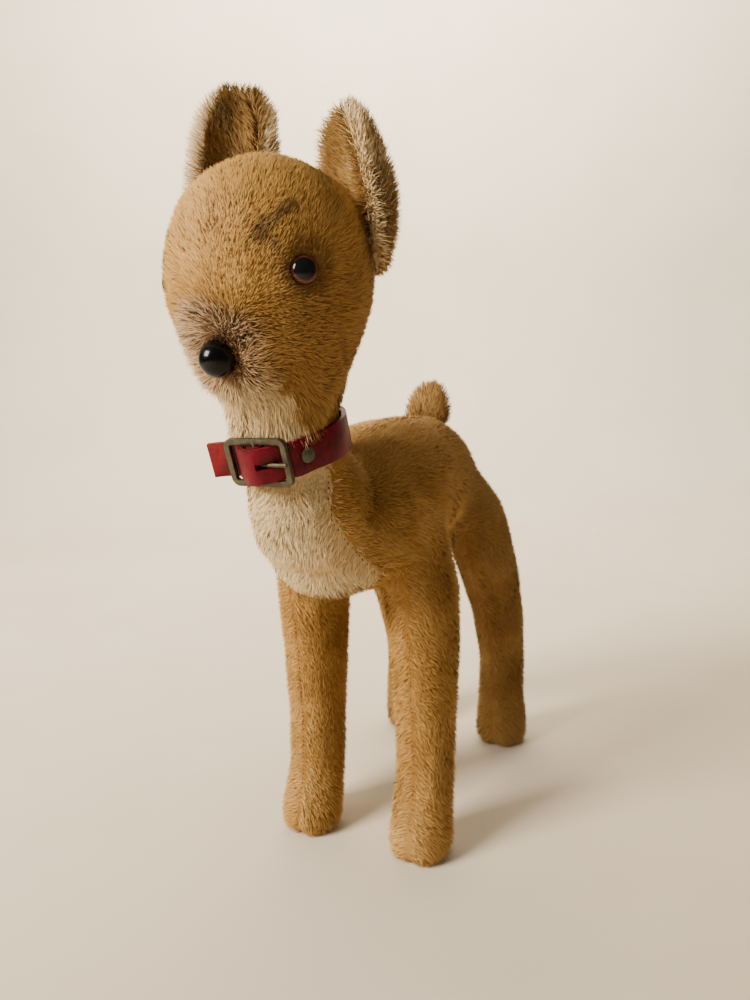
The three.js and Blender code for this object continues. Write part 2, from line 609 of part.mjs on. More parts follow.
// ---------------------------------------------------------------- collar
// The collar is drawn in its own frame: Z along the neck, -Y out through the buckle, X to the dog's left.
const RING_INNER = NECK_RADIUS + GAP;
const RING_MIDDLE = RING_INNER + STRAP_THICKNESS / 2;
const ROLL_MIDDLE = BAR_RADIUS + GAP + STRAP_THICKNESS / 2;
const ROLL_OUTER = ROLL_MIDDLE + STRAP_THICKNESS / 2;
const BAR_OUT = RING_INNER + 2 * GAP + ROLL_OUTER; // neck axis to the centre bar
const ROCKING_ROOM = 0.9; // lets the frame rock on the strap
const END_BAR = (FRAME_LENGTH - FRAME_RAIL) / 2; // centre bar to an end bar
const UNDER_BAR = BAR_OUT - (FRAME_THICKNESS + STRAP_THICKNESS) / 2 - ROCKING_ROOM;
const OVER_ROLL = BAR_OUT + ROLL_OUTER + GAP + STRAP_THICKNESS / 2;
const STRAP_LEAD = 1.97; // how far beside the buckle the free end lifts off the neck
const LEAVES_NECK = Math.asin((END_BAR + FRAME_RAIL + STRAP_LEAD) / RING_MIDDLE);
const BAND_START = THREE.MathUtils.degToRad(-14); // where the fixed end meets the neck
const RING_STEP = THREE.MathUtils.degToRad(10);

/** A point at an angle from the front, towards the dog's left, about a centre on the front line. */
function around(angle, radius, out = 0) {
  return at(Math.sin(angle) * radius, -out - Math.cos(angle) * radius, 0);
}

/** The free end's middle line: off the neck, under the near bar, over the roll and under the far bar. */
function freeEndCurve() {
  const ramp = [1, -1].map((side) => [
    at(side * (END_BAR - FRAME_RAIL / 2), -UNDER_BAR - 0.1, 0),
    at(side * END_BAR * 0.52, -(UNDER_BAR + OVER_ROLL) / 2 - 0.4, 0),
    at(side * END_BAR * 0.26, -OVER_ROLL + 0.7, 0),
  ]);
  return new THREE.CatmullRomCurve3([
    around(LEAVES_NECK + RING_STEP / 4, RING_MIDDLE),
    around(LEAVES_NECK, RING_MIDDLE),
    at(END_BAR + FRAME_RAIL, -UNDER_BAR + 2.3, 0),
    at(END_BAR + FRAME_RAIL / 2, -UNDER_BAR + 0.5, 0),
    ...ramp[0],
    at(0, -OVER_ROLL, 0),
    ...ramp[1].reverse(),
    at(-END_BAR - FRAME_RAIL / 2, -UNDER_BAR, 0),
    at(-END_BAR - FRAME_RAIL / 2 - TAIL_END * 0.5, -UNDER_BAR - 0.4, 0),
    at(-END_BAR - FRAME_RAIL / 2 - TAIL_END, -UNDER_BAR - 1.6, 0),
  ], false, 'centripetal');
}

/** The strap's whole middle line, from the end rolled round the centre bar to the free tail. */
function strapLine() {
  const line = [];
  const rollSteps = 12;
  const rollFrom = -Math.PI / 2;
  const rollTo = Math.PI * 0.97;
  for (let i = 0; i <= rollSteps; i += 1) {
    line.push(around(THREE.MathUtils.lerp(rollFrom, rollTo, i / rollSteps), ROLL_MIDDLE, BAR_OUT));
  }
  const bandTo = LEAVES_NECK + RING_STEP / 2 - 2 * Math.PI;
  const bandSteps = Math.round((BAND_START - bandTo) / RING_STEP);
  for (let i = 0; i <= bandSteps; i += 1) {
    line.push(around(THREE.MathUtils.lerp(BAND_START, bandTo, i / bandSteps), RING_MIDDLE));
  }
  return [...line, ...freeEndCurve().getSpacedPoints(34)];
}

/** The outline of a strip of even thickness along a line in the XY plane. */
function stripShape(line, thickness) {
  const sides = [1, -1].map((side) => line.map((p, i) => {
    const run = new THREE.Vector3().subVectors(
      line[Math.min(i + 1, line.length - 1)],
      line[Math.max(i - 1, 0)],
    ).normalize();
    return new THREE.Vector2(p.x - (side * run.y * thickness) / 2, p.y + (side * run.x * thickness) / 2);
  }));
  return new THREE.Shape([...sides[0], ...sides[1].reverse()]);
}

/** A flat outline in the XY plane, made into a plate of even thickness about z = 0. */
function plate(shape, thickness) {
  const geometry = new THREE.ExtrudeGeometry(shape, { depth: thickness, bevelEnabled: false, curveSegments: 8 });
  geometry.translate(0, 0, -thickness / 2);
  return solid(geometry);
}

const SLOT_HALF = PRONG_RADIUS + GAP;
const RIVET_HOLE = PIN_RADIUS + GAP;
const RIVET_LIFT = 0.9; // the strap has risen this far off the neck at the rivet
const RIVET_SEARCH = 0.005;

/** The share of the free end at which the strap leaves room under it for the rivet's flange. */
function rivetShare(curve) {
  let share = 0;
  while (curve.getPointAt(share).length() < RING_MIDDLE + RIVET_LIFT) {
    share += RIVET_SEARCH;
  }
  return share;
}

const freeEnd = freeEndCurve();
const rivetPlace = freeEnd.getPointAt(rivetShare(freeEnd));
const rivetRun = freeEnd.getTangentAt(rivetShare(freeEnd));
const rivetOut = new THREE.Vector3().crossVectors(UP, rivetRun).negate();
if (rivetOut.dot(rivetPlace) < 0) rivetOut.negate();
const onRivet = (out) => rivetPlace.clone().addScaledVector(rivetOut, out);

/** The strap with the slot in its roll, the prong's hole and the rivet's hole. */
function collarStrap() {
  const rollSlot = new THREE.CylinderGeometry(ROLL_OUTER + GAP / 2, ROLL_OUTER + GAP / 2, 2 * SLOT_HALF, 24);
  rollSlot.rotateX(Math.PI / 2);
  rollSlot.translate(0, -BAR_OUT, 0);
  const prongHole = block(
    at(END_BAR * 0.15, -OVER_ROLL - STRAP_THICKNESS, -SLOT_HALF),
    at(END_BAR * 0.74, -BAR_OUT, SLOT_HALF),
  );
  return plate(stripShape(strapLine(), STRAP_THICKNESS), STRAP_WIDTH)
    .subtract(solid(rollSlot))
    .subtract(prongHole)
    .subtract(rod(onRivet(-3), onRivet(3), RIVET_HOLE, 16));
}

/** A tubular rivet with its domed head outside and its turned flange inside the strap. */
function rivet() {
  const outside = STRAP_THICKNESS / 2 + GAP;
  const domed = new THREE.LatheGeometry([
    new THREE.Vector2(0, 0),
    new THREE.Vector2(RIVET_RADIUS, 0),
    new THREE.Vector2(RIVET_RADIUS, 0.3),
    new THREE.Vector2(RIVET_RADIUS * 0.7, 0.75),
    new THREE.Vector2(0, 0.95),
  ], 24);
  domed.applyQuaternion(new THREE.Quaternion().setFromUnitVectors(BACK, rivetOut));
  const base = onRivet(outside);
  domed.translate(base.x, base.y, base.z);
  const shank = rod(onRivet(-outside - 0.2), onRivet(outside + 0.2), PIN_RADIUS, 16);
  const flange = rod(onRivet(-outside - 0.4), onRivet(-outside), PIN_RADIUS * 1.6, 16);
  return merge([solid(domed), shank, flange]);
}

/** A rectangle with round corners. */
function roundedRectangle(path, halfWidth, halfHeight, corner) {
  path.moveTo(-halfWidth + corner, -halfHeight);
  path.lineTo(halfWidth - corner, -halfHeight);
  path.absarc(halfWidth - corner, -halfHeight + corner, corner, -Math.PI / 2, 0, false);
  path.lineTo(halfWidth, halfHeight - corner);
  path.absarc(halfWidth - corner, halfHeight - corner, corner, 0, Math.PI / 2, false);
  path.lineTo(-halfWidth + corner, halfHeight);
  path.absarc(-halfWidth + corner, halfHeight - corner, corner, Math.PI / 2, Math.PI, false);
  path.lineTo(-halfWidth, -halfHeight + corner);
  path.absarc(-halfWidth + corner, -halfHeight + corner, corner, Math.PI, Math.PI * 1.5, false);
  return path;
}

const FRAME_INNER_HALF = STRAP_WIDTH / 2 + GAP + 0.1;
const FRAME_CORNER = 2.6;

/** The buckle's frame, flat across the front of the neck, with its round centre bar. */
function buckleFrame() {
  const outline = roundedRectangle(
    new THREE.Shape(), FRAME_LENGTH / 2, FRAME_INNER_HALF + FRAME_RAIL, FRAME_CORNER,
  );
  outline.holes.push(roundedRectangle(
    new THREE.Path(), FRAME_LENGTH / 2 - FRAME_RAIL, FRAME_INNER_HALF, FRAME_CORNER / 3,
  ));
  const flat = new THREE.ExtrudeGeometry(outline, {
    depth: FRAME_THICKNESS, bevelEnabled: false, curveSegments: 6,
  });
  flat.translate(0, 0, -FRAME_THICKNESS / 2);
  flat.rotateX(Math.PI / 2);
  flat.translate(0, -BAR_OUT, 0);
  const barEnd = FRAME_INNER_HALF + FRAME_RAIL / 2;
  return solid(flat).add(rod(at(0, -BAR_OUT, -barEnd), at(0, -BAR_OUT, barEnd), BAR_RADIUS, 16));
}

/** The prong: an eye round the centre bar and a straight wire whose tip lies on the near end bar. */
function prong() {
  const eyeRadius = BAR_RADIUS + GAP + PRONG_RADIUS;
  const loop = new THREE.TorusGeometry(eyeRadius, PRONG_RADIUS, 8, 16);
  loop.translate(0, -BAR_OUT, 0);
  const tip = END_BAR + FRAME_RAIL / 2;
  return solid(loop).add(rod(at(0, -BAR_OUT - eyeRadius, 0), at(tip, -BAR_OUT - eyeRadius, 0), PRONG_RADIUS, 10));
}

// ---------------------------------------------------------------- the whole dog
/** The largest separate part of a solid; slivers that a seam cuts off are left out. */
function whole(body) {
  return body.decompose().reduce((a, b) => (a.volume() > b.volume() ? a : b));
}

const bodyPieces = [
  piece('body_side_left', whole(bodySides.intersect(leftHalf)), GOLD),
  piece('body_side_right', whole(bodySides.intersect(rightHalf)), GOLD),
  piece('chest_bib', whole(bodySkin.intersect(bibZone)), CREAM),
  piece('belly_gusset', whole(bodySkin.intersect(gussetZone).subtract(bibZoneWide)), GOLD),
  piece('tail', whole(tail), GOLD),
  piece('body_stuffing', whole(bodyStuffing), WOOD_WOOL),
  piece('front_leg_wire', frontWire, STEEL),
  piece('rear_leg_wire', rearWire, STEEL),
  piece('neck_disc_lower', bodyDisc, HARDBOARD),
  piece('neck_washer_lower', bodyWasher, STEEL),
  piece('neck_disc_upper', headDisc, HARDBOARD),
  piece('neck_washer_upper', headWasher, STEEL),
  piece('neck_cotter_pin', cotterPin(), STEEL),
];

const headPieces = [
  piece('head_side_left', whole(headSides.intersect(leftHalf)), GOLD),
  piece('head_side_right', whole(headSides.intersect(rightHalf)), GOLD),
  piece('head_gusset', whole(headSkin.intersect(gussetRun)), GOLD),
  piece('chin_and_throat', whole(headSkin.intersect(chinRun)), CREAM),
  piece('head_stuffing', whole(headStuffing), WOOD_WOOL),
  piece('eye_left', eye(1, 0), GLASS),
  piece('eye_right', eye(-1, 0), GLASS),
  piece('nose', nose(0), BLACK),
  piece('ear_left_lining', whole(earLayer(EAR_LEFT, EAR_CUP - EAR_LAYER, EAR_CUP)), GOLD),
  piece('ear_left_back', whole(earLayer(EAR_LEFT, EAR_CUP + EAR_SEAM, EAR_CUP + EAR_SEAM + EAR_LAYER)), CREAM),
  piece('ear_right_lining', whole(earLayer(EAR_RIGHT, EAR_CUP - EAR_LAYER, EAR_CUP)), GOLD),
  piece('ear_right_back', whole(earLayer(EAR_RIGHT, EAR_CUP + EAR_SEAM, EAR_CUP + EAR_SEAM + EAR_LAYER)), CREAM),
];

const collarPieces = [
  piece('collar_strap', whole(collarStrap()), LEATHER),
  piece('collar_rivet', rivet(), BRONZE),
  piece('buckle_frame', buckleFrame(), BRONZE),
  piece('buckle_prong', prong(), BRONZE),
];

// The head turns about the neck's axis, so its group is turned there.
const head = new THREE.Group();
head.add(...headPieces);
head.position.set(0, -NECK_Y, -NECK_Z);
const headSwivel = new THREE.Group();
headSwivel.add(head);
headSwivel.position.set(0, NECK_Y, NECK_Z);
headSwivel.quaternion.setFromAxisAngle(neckAxis, HEAD_TURN);

const collar = new THREE.Group();
collar.add(...collarPieces);
collar.position.set(0, NECK_Y, NECK_Z);
collar.rotation.x = NECK_LEAN;

const dog = new THREE.Group();
dog.add(...bodyPieces, headSwivel, collar);

// The origin is under the middle of the dog's bounding box.
dog.updateMatrixWorld(true);
const middle = new THREE.Box3().setFromObject(dog, true).getCenter(new THREE.Vector3());
dog.position.set(-middle.x, -middle.y, 0);

export default dog;
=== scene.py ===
"""Shown pieces of a standing plush dog in golden mohair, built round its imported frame.

The dog is a stuffed toy on four firm legs. Its skin is sewn from mohair panels, its head turns on a disc joint
in the neck, and it wears a leather collar with a centre-bar buckle. Every class that builds makes one
sub-assembly and dresses it.
Lengths are metres, +Z is up, the dog looks along -Y and its left side is +X.
"""

import json
import logging
import math
from dataclasses import dataclass, field
from enum import Enum
from typing import Callable, Optional, Sequence

import bmesh
import bpy
import numpy as np
from mathutils import Matrix, Vector
from mathutils.bvhtree import BVHTree
from mathutils.kdtree import KDTree

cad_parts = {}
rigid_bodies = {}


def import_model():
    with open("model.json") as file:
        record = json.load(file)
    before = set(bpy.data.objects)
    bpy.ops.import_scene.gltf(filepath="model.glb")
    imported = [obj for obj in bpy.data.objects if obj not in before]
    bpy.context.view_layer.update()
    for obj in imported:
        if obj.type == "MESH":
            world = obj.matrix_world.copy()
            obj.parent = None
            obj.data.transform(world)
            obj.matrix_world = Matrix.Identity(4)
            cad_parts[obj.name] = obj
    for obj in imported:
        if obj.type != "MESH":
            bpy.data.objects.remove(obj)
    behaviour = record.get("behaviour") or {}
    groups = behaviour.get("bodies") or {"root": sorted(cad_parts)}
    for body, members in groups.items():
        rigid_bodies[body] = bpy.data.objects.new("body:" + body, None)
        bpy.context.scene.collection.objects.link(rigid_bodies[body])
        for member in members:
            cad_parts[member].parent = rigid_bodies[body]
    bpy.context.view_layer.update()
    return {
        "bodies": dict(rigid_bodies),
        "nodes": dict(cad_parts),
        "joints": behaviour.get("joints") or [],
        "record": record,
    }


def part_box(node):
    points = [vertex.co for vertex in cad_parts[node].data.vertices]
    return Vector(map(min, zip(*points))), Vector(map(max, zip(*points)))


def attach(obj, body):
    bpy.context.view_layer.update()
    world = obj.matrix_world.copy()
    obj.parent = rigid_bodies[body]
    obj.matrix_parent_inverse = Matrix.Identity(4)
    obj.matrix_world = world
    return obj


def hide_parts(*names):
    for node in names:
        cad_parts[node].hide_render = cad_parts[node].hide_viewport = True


LOG = logging.getLogger("plush_dog")
MM = 0.001
STRAND_POINTS = 5
# Marks beside an eye, in millimetres: start and end as steps inwards and upwards from its middle, and half
# the mark's width.
SMUDGE_LINES = (
    ((6.4, 0.5), (7.2, 6.0), 1.1),
    ((10.8, 8.0), (8.6, 12.0), 1.2),
    ((8.6, 12.0), (2.0, 17.0), 1.0),
)
DOME_REACH = 4.6 * MM
Array = np.ndarray
Colour = tuple[float, float, float, float]


# ------------------------------------------------------------ small helpers
def tone(red: float, green: float, blue: float) -> Colour:
    """Returns an opaque colour from its linear red, green and blue."""
    return (red, green, blue, 1.0)


def smooth_step(low: float, high: float, value: Array) -> Array:
    """Returns 0 below low, 1 above high and a smooth rise between them."""
    t = np.clip((value - low) / (high - low), 0.0, 1.0)
    return t * t * (3.0 - 2.0 * t)


def fade_out(low: float, high: float, value: Array) -> Array:
    """Returns 1 below low, 0 above high and a smooth fall between them."""
    return 1.0 - smooth_step(low, high, value)


def unit(vectors: Array) -> Array:
    """Returns rows scaled to length one; a row of no length stays as it is."""
    length = np.linalg.norm(vectors, axis=-1, keepdims=True)
    return vectors / np.maximum(length, 1e-9)


def flat_to(vectors: Array, normals: Array) -> Array:
    """Returns the part of each vector that lies in the surface."""
    return vectors - normals * np.sum(vectors * normals, axis=1, keepdims=True)


def capsule_distance(points: Array, start: Array, end: Array) -> Array:
    """Measures how far points lie from a straight line between two places.

    Args:
        points: Rows of places.
        start: One end of the line.
        end: Its other end.

    Returns:
        One distance for each point.
    """
    run = end - start
    share = np.clip(((points - start) @ run) / max(float(run @ run), 1e-12), 0.0, 1.0)
    return np.linalg.norm(points - (start + share[:, None] * run), axis=1)


def positions(mesh: bpy.types.Mesh) -> Array:
    """Returns a mesh's vertex places as rows."""
    flat = np.empty(len(mesh.vertices) * 3, np.float32)
    mesh.vertices.foreach_get("co", flat)
    return flat.reshape(-1, 3).astype(float)


def vertex_normals(mesh: bpy.types.Mesh) -> Array:
    """Returns a mesh's vertex normals as rows."""
    flat = np.empty(len(mesh.vertices) * 3, np.float32)
    mesh.vertex_normals.foreach_get("vector", flat)
    return flat.reshape(-1, 3).astype(float)


def new_object(name: str, mesh: bpy.types.Mesh) -> bpy.types.Object:
    """Puts a mesh in the scene under a name and returns its object."""
    obj = bpy.data.objects.new(name, mesh)
    bpy.context.scene.collection.objects.link(obj)
    return obj


def evaluated_mesh(obj: bpy.types.Object) -> bpy.types.Mesh:
    """Returns a new mesh with the object's modifiers applied."""
    depsgraph = bpy.context.evaluated_depsgraph_get()
    depsgraph.update()
    return bpy.data.meshes.new_from_object(obj.evaluated_get(depsgraph))


def settle(obj: bpy.types.Object) -> None:
    """Applies every modifier of an object to its mesh."""
    mesh = evaluated_mesh(obj)
    obj.modifiers.clear()
    obj.data = mesh


def shade_smooth(mesh: bpy.types.Mesh, angle: Optional[float] = None) -> None:
    """Shades a mesh smooth, with sharp edges where it turns by more than an angle.

    Args:
        mesh: The mesh to shade.
        angle: Largest smooth turn in radians, or None for smooth everywhere.
    """
    mesh.shade_smooth()
    if angle is not None:
        mesh.set_sharp_from_angle(angle=angle)


def copy_of_nodes(name: str, nodes: Sequence[bpy.types.Object]) -> bpy.types.Object:
    """Joins copies of some frame nodes into one new object.

    Args:
        name: Name of the new object.
        nodes: Frame nodes whose meshes are copied.

    Returns:
        The new object.
    """
    joined = bmesh.new()
    for node in nodes:
        joined.from_mesh(node.data)
    bmesh.ops.remove_doubles(joined, verts=joined.verts, dist=1e-6)
    mesh = bpy.data.meshes.new(name)
    joined.to_mesh(mesh)
    joined.free()
    return new_object(name, mesh)


def keep_outer_face(mesh: bpy.types.Mesh) -> None:
    """Keeps only the island of a mesh with the largest extent, which is its outer face."""
    work = bmesh.new()
    work.from_mesh(mesh)
    left = set(work.faces)
    best: list[bmesh.types.BMFace] = []
    best_extent = -1.0
    while left:
        island = [left.pop()]
        for face in island:
            for edge in face.edges:
                for other in edge.link_faces:
                    if other in left:
                        left.discard(other)
                        island.append(other)
        places = np.array([face.calc_center_median() for face in island])
        extent = float(np.ptp(places, axis=0).sum())
        if extent > best_extent:
            best, best_extent = island, extent
    keep = set(best)
    bmesh.ops.delete(work, geom=[f for f in work.faces if f not in keep], context="FACES")
    work.to_mesh(mesh)
    work.free()


def set_point_colour(mesh: bpy.types.Mesh, name: str, values: Array) -> None:
    """Stores one colour for each vertex of a mesh.

    Args:
        mesh: The mesh that gets the attribute.
        name: Name of the attribute.
        values: Rows of red, green and blue.
    """
    layer = mesh.attributes.get(name) or mesh.attributes.new(name, "FLOAT_COLOR", "POINT")
    rgba = np.ones((len(values), 4), np.float32)
    rgba[:, :3] = values
    layer.data.foreach_set("color", rgba.ravel())


# ------------------------------------------------------------ shader building
class Graph:
    """Adds and joins nodes in one shader tree."""

    def __init__(self, tree: bpy.types.NodeTree) -> None:
        """Starts with an existing tree."""
        self.tree = tree

    def add(self, kind: str, inputs: Optional[dict] = None, **settings: object) -> bpy.types.Node:
        """Adds a node.

        Args:
            kind: Blender's name of the node type.
            inputs: Values or output sockets for its inputs, by name or number.
            **settings: Properties of the node.

        Returns:
            The node.
        """
        node = self.tree.nodes.new(kind)
        for name, value in settings.items():
            setattr(node, name, value)
        for key, value in (inputs or {}).items():
            if isinstance(value, bpy.types.NodeSocket):
                self.tree.links.new(value, node.inputs[key])
            else:
                node.inputs[key].default_value = value
        return node

    def math(self, operation: str, first: object, second: object = 0.0) -> bpy.types.NodeSocket:
        """Adds a math node and returns its output."""
        return self.add("ShaderNodeMath", {0: first, 1: second}, operation=operation).outputs[0]

    def mix(self, share: object, first: object, second: object, blend: str = "MIX") -> bpy.types.NodeSocket:
        """Mixes two colours.

        Args:
            share: How much of the second colour, a number or a socket.
            first: The first colour.
            second: The second colour.
            blend: Blender's name of the blend mode.

        Returns:
            The mixed colour's socket.
        """
        given = {0: share, 6: first, 7: second}
        return self.add("ShaderNodeMix", given, data_type="RGBA", blend_type=blend).outputs[2]

    def remap(
        self, value: object, low: object, high: object, to_low: float = 0.0, to_high: float = 1.0
    ) -> bpy.types.NodeSocket:
        """Maps one range of a value smoothly onto another, clamped, and returns the socket."""
        given = {0: value, 1: low, 2: high, 3: to_low, 4: to_high}
        return self.add("ShaderNodeMapRange", given, interpolation_type="SMOOTHSTEP").outputs[0]

    def noise(
        self, scale: object, detail: float = 3.0, roughness: float = 0.5, vector: object = None
    ) -> bpy.types.NodeSocket:
        """Adds noise in object coordinates unless a vector is given.

        Args:
            scale: Noise cells in each metre.
            detail: Octaves.
            roughness: How strong the finer octaves are.
            vector: Coordinates to use in place of the object's own.

        Returns:
            The noise's value.
        """
        place = vector or self.add("ShaderNodeTexCoord").outputs["Object"]
        given = {"Vector": place, "Scale": scale, "Detail": detail, "Roughness": roughness}
        return self.add("ShaderNodeTexNoise", given).outputs[0]


class Effect:
    """A shader node group with named inputs and outputs, built once and placed in many materials."""

    def __init__(self, name: str, inputs: dict[str, object], outputs: dict[str, str]) -> None:
        """Makes the group's sockets.

        Args:
            name: Name of the group.
            inputs: Default value of each input; a tuple makes a colour, a number a value.
            outputs: Kind of each output, "value" or "colour".
        """
        self.tree = bpy.data.node_groups.new(name, "ShaderNodeTree")
        for label, value in inputs.items():
            kind = "NodeSocketColor" if isinstance(value, tuple) else "NodeSocketFloat"
            socket = self.tree.interface.new_socket(label, in_out="INPUT", socket_type=kind)
            socket.default_value = value
        for label, kind in outputs.items():
            form = "NodeSocketColor" if kind == "colour" else "NodeSocketFloat"
            self.tree.interface.new_socket(label, in_out="OUTPUT", socket_type=form)
        self.graph = Graph(self.tree)
        self.given = self.graph.add("NodeGroupInput").outputs
        self.result = self.graph.add("NodeGroupOutput").inputs

    def put_out(self, label: str, socket: bpy.types.NodeSocket) -> None:
        """Joins a socket to one of the group's outputs."""
        self.tree.links.new(socket, self.result[label])

    def place(self, graph: Graph, **inputs: object) -> bpy.types.NodeOutputs:
        """Places the group in a material.

        Args:
            graph: The material's graph.
            **inputs: Values or sockets; an underscore stands for a space.

        Returns:
            The placed group's outputs.
        """
        named = {key.replace("_", " "): value for key, value in inputs.items()}
        return graph.add("ShaderNodeGroup", named, node_tree=self.tree).outputs


class Effects:
    """All shared effects: blotches, fine grain, worn edges, settled dust and the colour of mohair pile."""

    def __init__(self) -> None:
        """Builds every group once."""
        self.blotches = self._blotches()
        self.grain = self._grain()
        self.worn_edges = self._worn_edges()
        self.dust = self._dust()
        self.pile_colour = self._pile_colour()

    def _blotches(self) -> Effect:
        """Returns soft patches of two noises as a mask."""
        effect = Effect("soft_blotches", {"Scale": 60.0, "Low": 0.4, "High": 0.62}, {"Mask": "value"})
        g = effect.graph
        wide = g.noise(effect.given["Scale"], 2.0, 0.5)
        close = g.noise(g.math("MULTIPLY", effect.given["Scale"], 4.1), 3.0, 0.6)
        both = g.math("ADD", g.math("MULTIPLY", wide, 0.7), g.math("MULTIPLY", close, 0.3))
        effect.put_out("Mask", g.remap(both, effect.given["Low"], effect.given["High"]))
        return effect

    def _grain(self) -> Effect:
        """Returns a fine pebbled height made of cells and noise."""
        effect = Effect("fine_grain", {"Scale": 900.0, "Cells": 0.6}, {"Height": "value"})
        g = effect.graph
        place = g.add("ShaderNodeTexCoord").outputs["Object"]
        cell_inputs = {"Vector": place, "Scale": effect.given["Scale"]}
        cells = g.add("ShaderNodeTexVoronoi", cell_inputs, feature="SMOOTH_F1").outputs[0]
        fine = g.noise(g.math("MULTIPLY", effect.given["Scale"], 2.3), 3.0, 0.6, place)
        share = effect.given["Cells"]
        rest = g.math("SUBTRACT", 1.0, share)
        height = g.math("ADD", g.math("MULTIPLY", cells, share), g.math("MULTIPLY", fine, rest))
        effect.put_out("Height", height)
        return effect

    def _worn_edges(self) -> Effect:
        """Returns a mask of rubbed convex edges, broken up by noise."""
        effect = Effect("worn_edges", {"Start": 0.52, "End": 0.6, "Scale": 500.0}, {"Mask": "value"})
        g = effect.graph
        edge = g.add("ShaderNodeNewGeometry").outputs["Pointiness"]
        given = {0: edge, 1: effect.given["Start"], 2: effect.given["End"], 3: 0.0, 4: 1.0}
        convex = g.add("ShaderNodeMapRange", given).outputs[0]
        broken = g.remap(g.noise(effect.given["Scale"], 4.0, 0.65), 0.35, 0.6, 0.25, 1.0)
        effect.put_out("Mask", g.math("MULTIPLY", convex, broken))
        return effect

    def _dust(self) -> Effect:
        """Returns a mask of dust that settles on faces that look upwards."""
        effect = Effect("settled_dust", {"Amount": 0.5, "Scale": 700.0}, {"Mask": "value"})
        g = effect.graph
        normal = g.add("ShaderNodeNewGeometry").outputs["Normal"]
        upward = g.remap(g.add("ShaderNodeSeparateXYZ", {0: normal}).outputs[2], 0.1, 0.95)
        specks = g.remap(g.noise(effect.given["Scale"], 5.0, 0.7), 0.45, 0.7)
        settled = g.math("MULTIPLY", upward, specks)
        effect.put_out("Mask", g.math("MULTIPLY", settled, effect.given["Amount"]))
        return effect

    def _pile_colour(self) -> Effect:
        """Returns the colour of mohair from a point's height along its fibre and the zone it grows in."""
        dyes = ("Gold", "Cream", "Blush")
        dyed = [f"{dye} {end}" for dye in dyes for end in ("Root", "Tip")]
        inputs: dict[str, object] = dict.fromkeys(("Zone", "Fibre", *dyed, "Smoke", "Faded"), tone(0, 0, 0))
        effect = Effect("pile_colour", inputs, {"Colour": "colour"})
        g, given = effect.graph, effect.given
        zone = g.add("ShaderNodeSeparateColor", {0: given["Zone"]}).outputs
        fibre = g.add("ShaderNodeSeparateColor", {0: given["Fibre"]}).outputs
        up = g.remap(fibre[0], 0.0, 1.0)
        gold, cream, blush = (g.mix(up, given[f"{dye} Root"], given[f"{dye} Tip"]) for dye in dyes)
        coat = g.mix(zone[0], gold, cream)
        coat = g.mix(zone[2], coat, blush)
        fading = self.blotches.place(g, Scale=52.0, Low=0.42, High=0.66)["Mask"]
        coat = g.mix(g.math("MULTIPLY", fading, 0.22), coat, given["Faded"])
        coat = g.mix(fibre[2], coat, given["Faded"])
        shade = g.remap(fibre[1], 0.0, 1.0, 0.88, 1.12)
        lot = g.add("ShaderNodeCombineColor", {0: shade, 1: shade, 2: shade}).outputs[0]
        coat = g.mix(1.0, coat, lot, "MULTIPLY")
        # The second zone lays on the dark brown, both as smoky airbrushing and as painted shade.
        effect.put_out("Colour", g.mix(zone[1], coat, given["Smoke"]))
        return effect


# ------------------------------------------------------------ finishes
def new_material(name: str) -> tuple[bpy.types.Material, Graph, bpy.types.Node]:
    """Makes an empty node material.

    Args:
        name: Name of the material.

    Returns:
        The material, its graph and its Principled BSDF.
    """
    material = bpy.data.materials.new(name)
    material.use_nodes = True
    material.node_tree.nodes.clear()
    graph = Graph(material.node_tree)
    shader = graph.add("ShaderNodeBsdfPrincipled")
    graph.add("ShaderNodeOutputMaterial", {"Surface": shader.outputs[0]})
    return material, graph, shader


def feed(graph: Graph, shader: bpy.types.Node, **inputs: object) -> None:
    """Sets or joins inputs of a shader; an underscore in a name stands for a space."""
    for key, value in inputs.items():
        socket = shader.inputs[key.replace("_", " ")]
        if isinstance(value, bpy.types.NodeSocket):
            graph.tree.links.new(value, socket)
        else:
            socket.default_value = value


@dataclass(frozen=True)
class MohairFinish:
    """Mohair pile or its backing; the zone and fibre of every point are stored on the mesh."""

    name: str
    gold_root: Colour = tone(0.23, 0.105, 0.021)
    gold_tip: Colour = tone(0.49, 0.265, 0.066)
    cream_root: Colour = tone(0.46, 0.32, 0.16)
    cream_tip: Colour = tone(0.84, 0.66, 0.38)
    blush_root: Colour = tone(0.2, 0.105, 0.05)
    blush_tip: Colour = tone(0.6, 0.41, 0.25)
    # Dark brown of the second zone: smoky airbrushing round the eyes, and painted shade on the rear, the tail,
    # the lower head and the ear linings.
    smoke: Colour = tone(0.035, 0.02, 0.012)
    faded: Colour = tone(0.7, 0.42, 0.14)
    roughness: float = 0.58
    specular: float = 0.16
    sheen: float = 0.05
    backing: bool = False

    def material(self, effects: Effects) -> bpy.types.Material:
        """Returns the material of the pile, or of the woven backing under it."""
        material, g, shader = new_material(self.name)
        zone = g.add("ShaderNodeAttribute", attribute_name="pile_zone").outputs["Color"]
        fibre = g.add("ShaderNodeAttribute", attribute_name="pile_fibre").outputs["Color"]
        colour = effects.pile_colour.place(
            g, Zone=zone, Fibre=fibre, Gold_Root=self.gold_root, Gold_Tip=self.gold_tip,
            Cream_Root=self.cream_root, Cream_Tip=self.cream_tip, Blush_Root=self.blush_root,
            Blush_Tip=self.blush_tip, Smoke=self.smoke, Faded=self.faded,
        )["Colour"]
        feed(g, shader, Base_Color=colour, Roughness=self.roughness, Specular_IOR_Level=self.specular)
        feed(g, shader, Sheen_Weight=self.sheen, Sheen_Roughness=0.45, Sheen_Tint=tone(1.0, 0.86, 0.66))
        if self.backing:
            height = effects.grain.place(g, Scale=1500.0, Cells=0.8)["Height"]
            bump = g.add("ShaderNodeBump", {"Height": height, "Strength": 0.5, "Distance": 0.0003})
            feed(g, shader, Normal=bump.outputs[0])
        return material


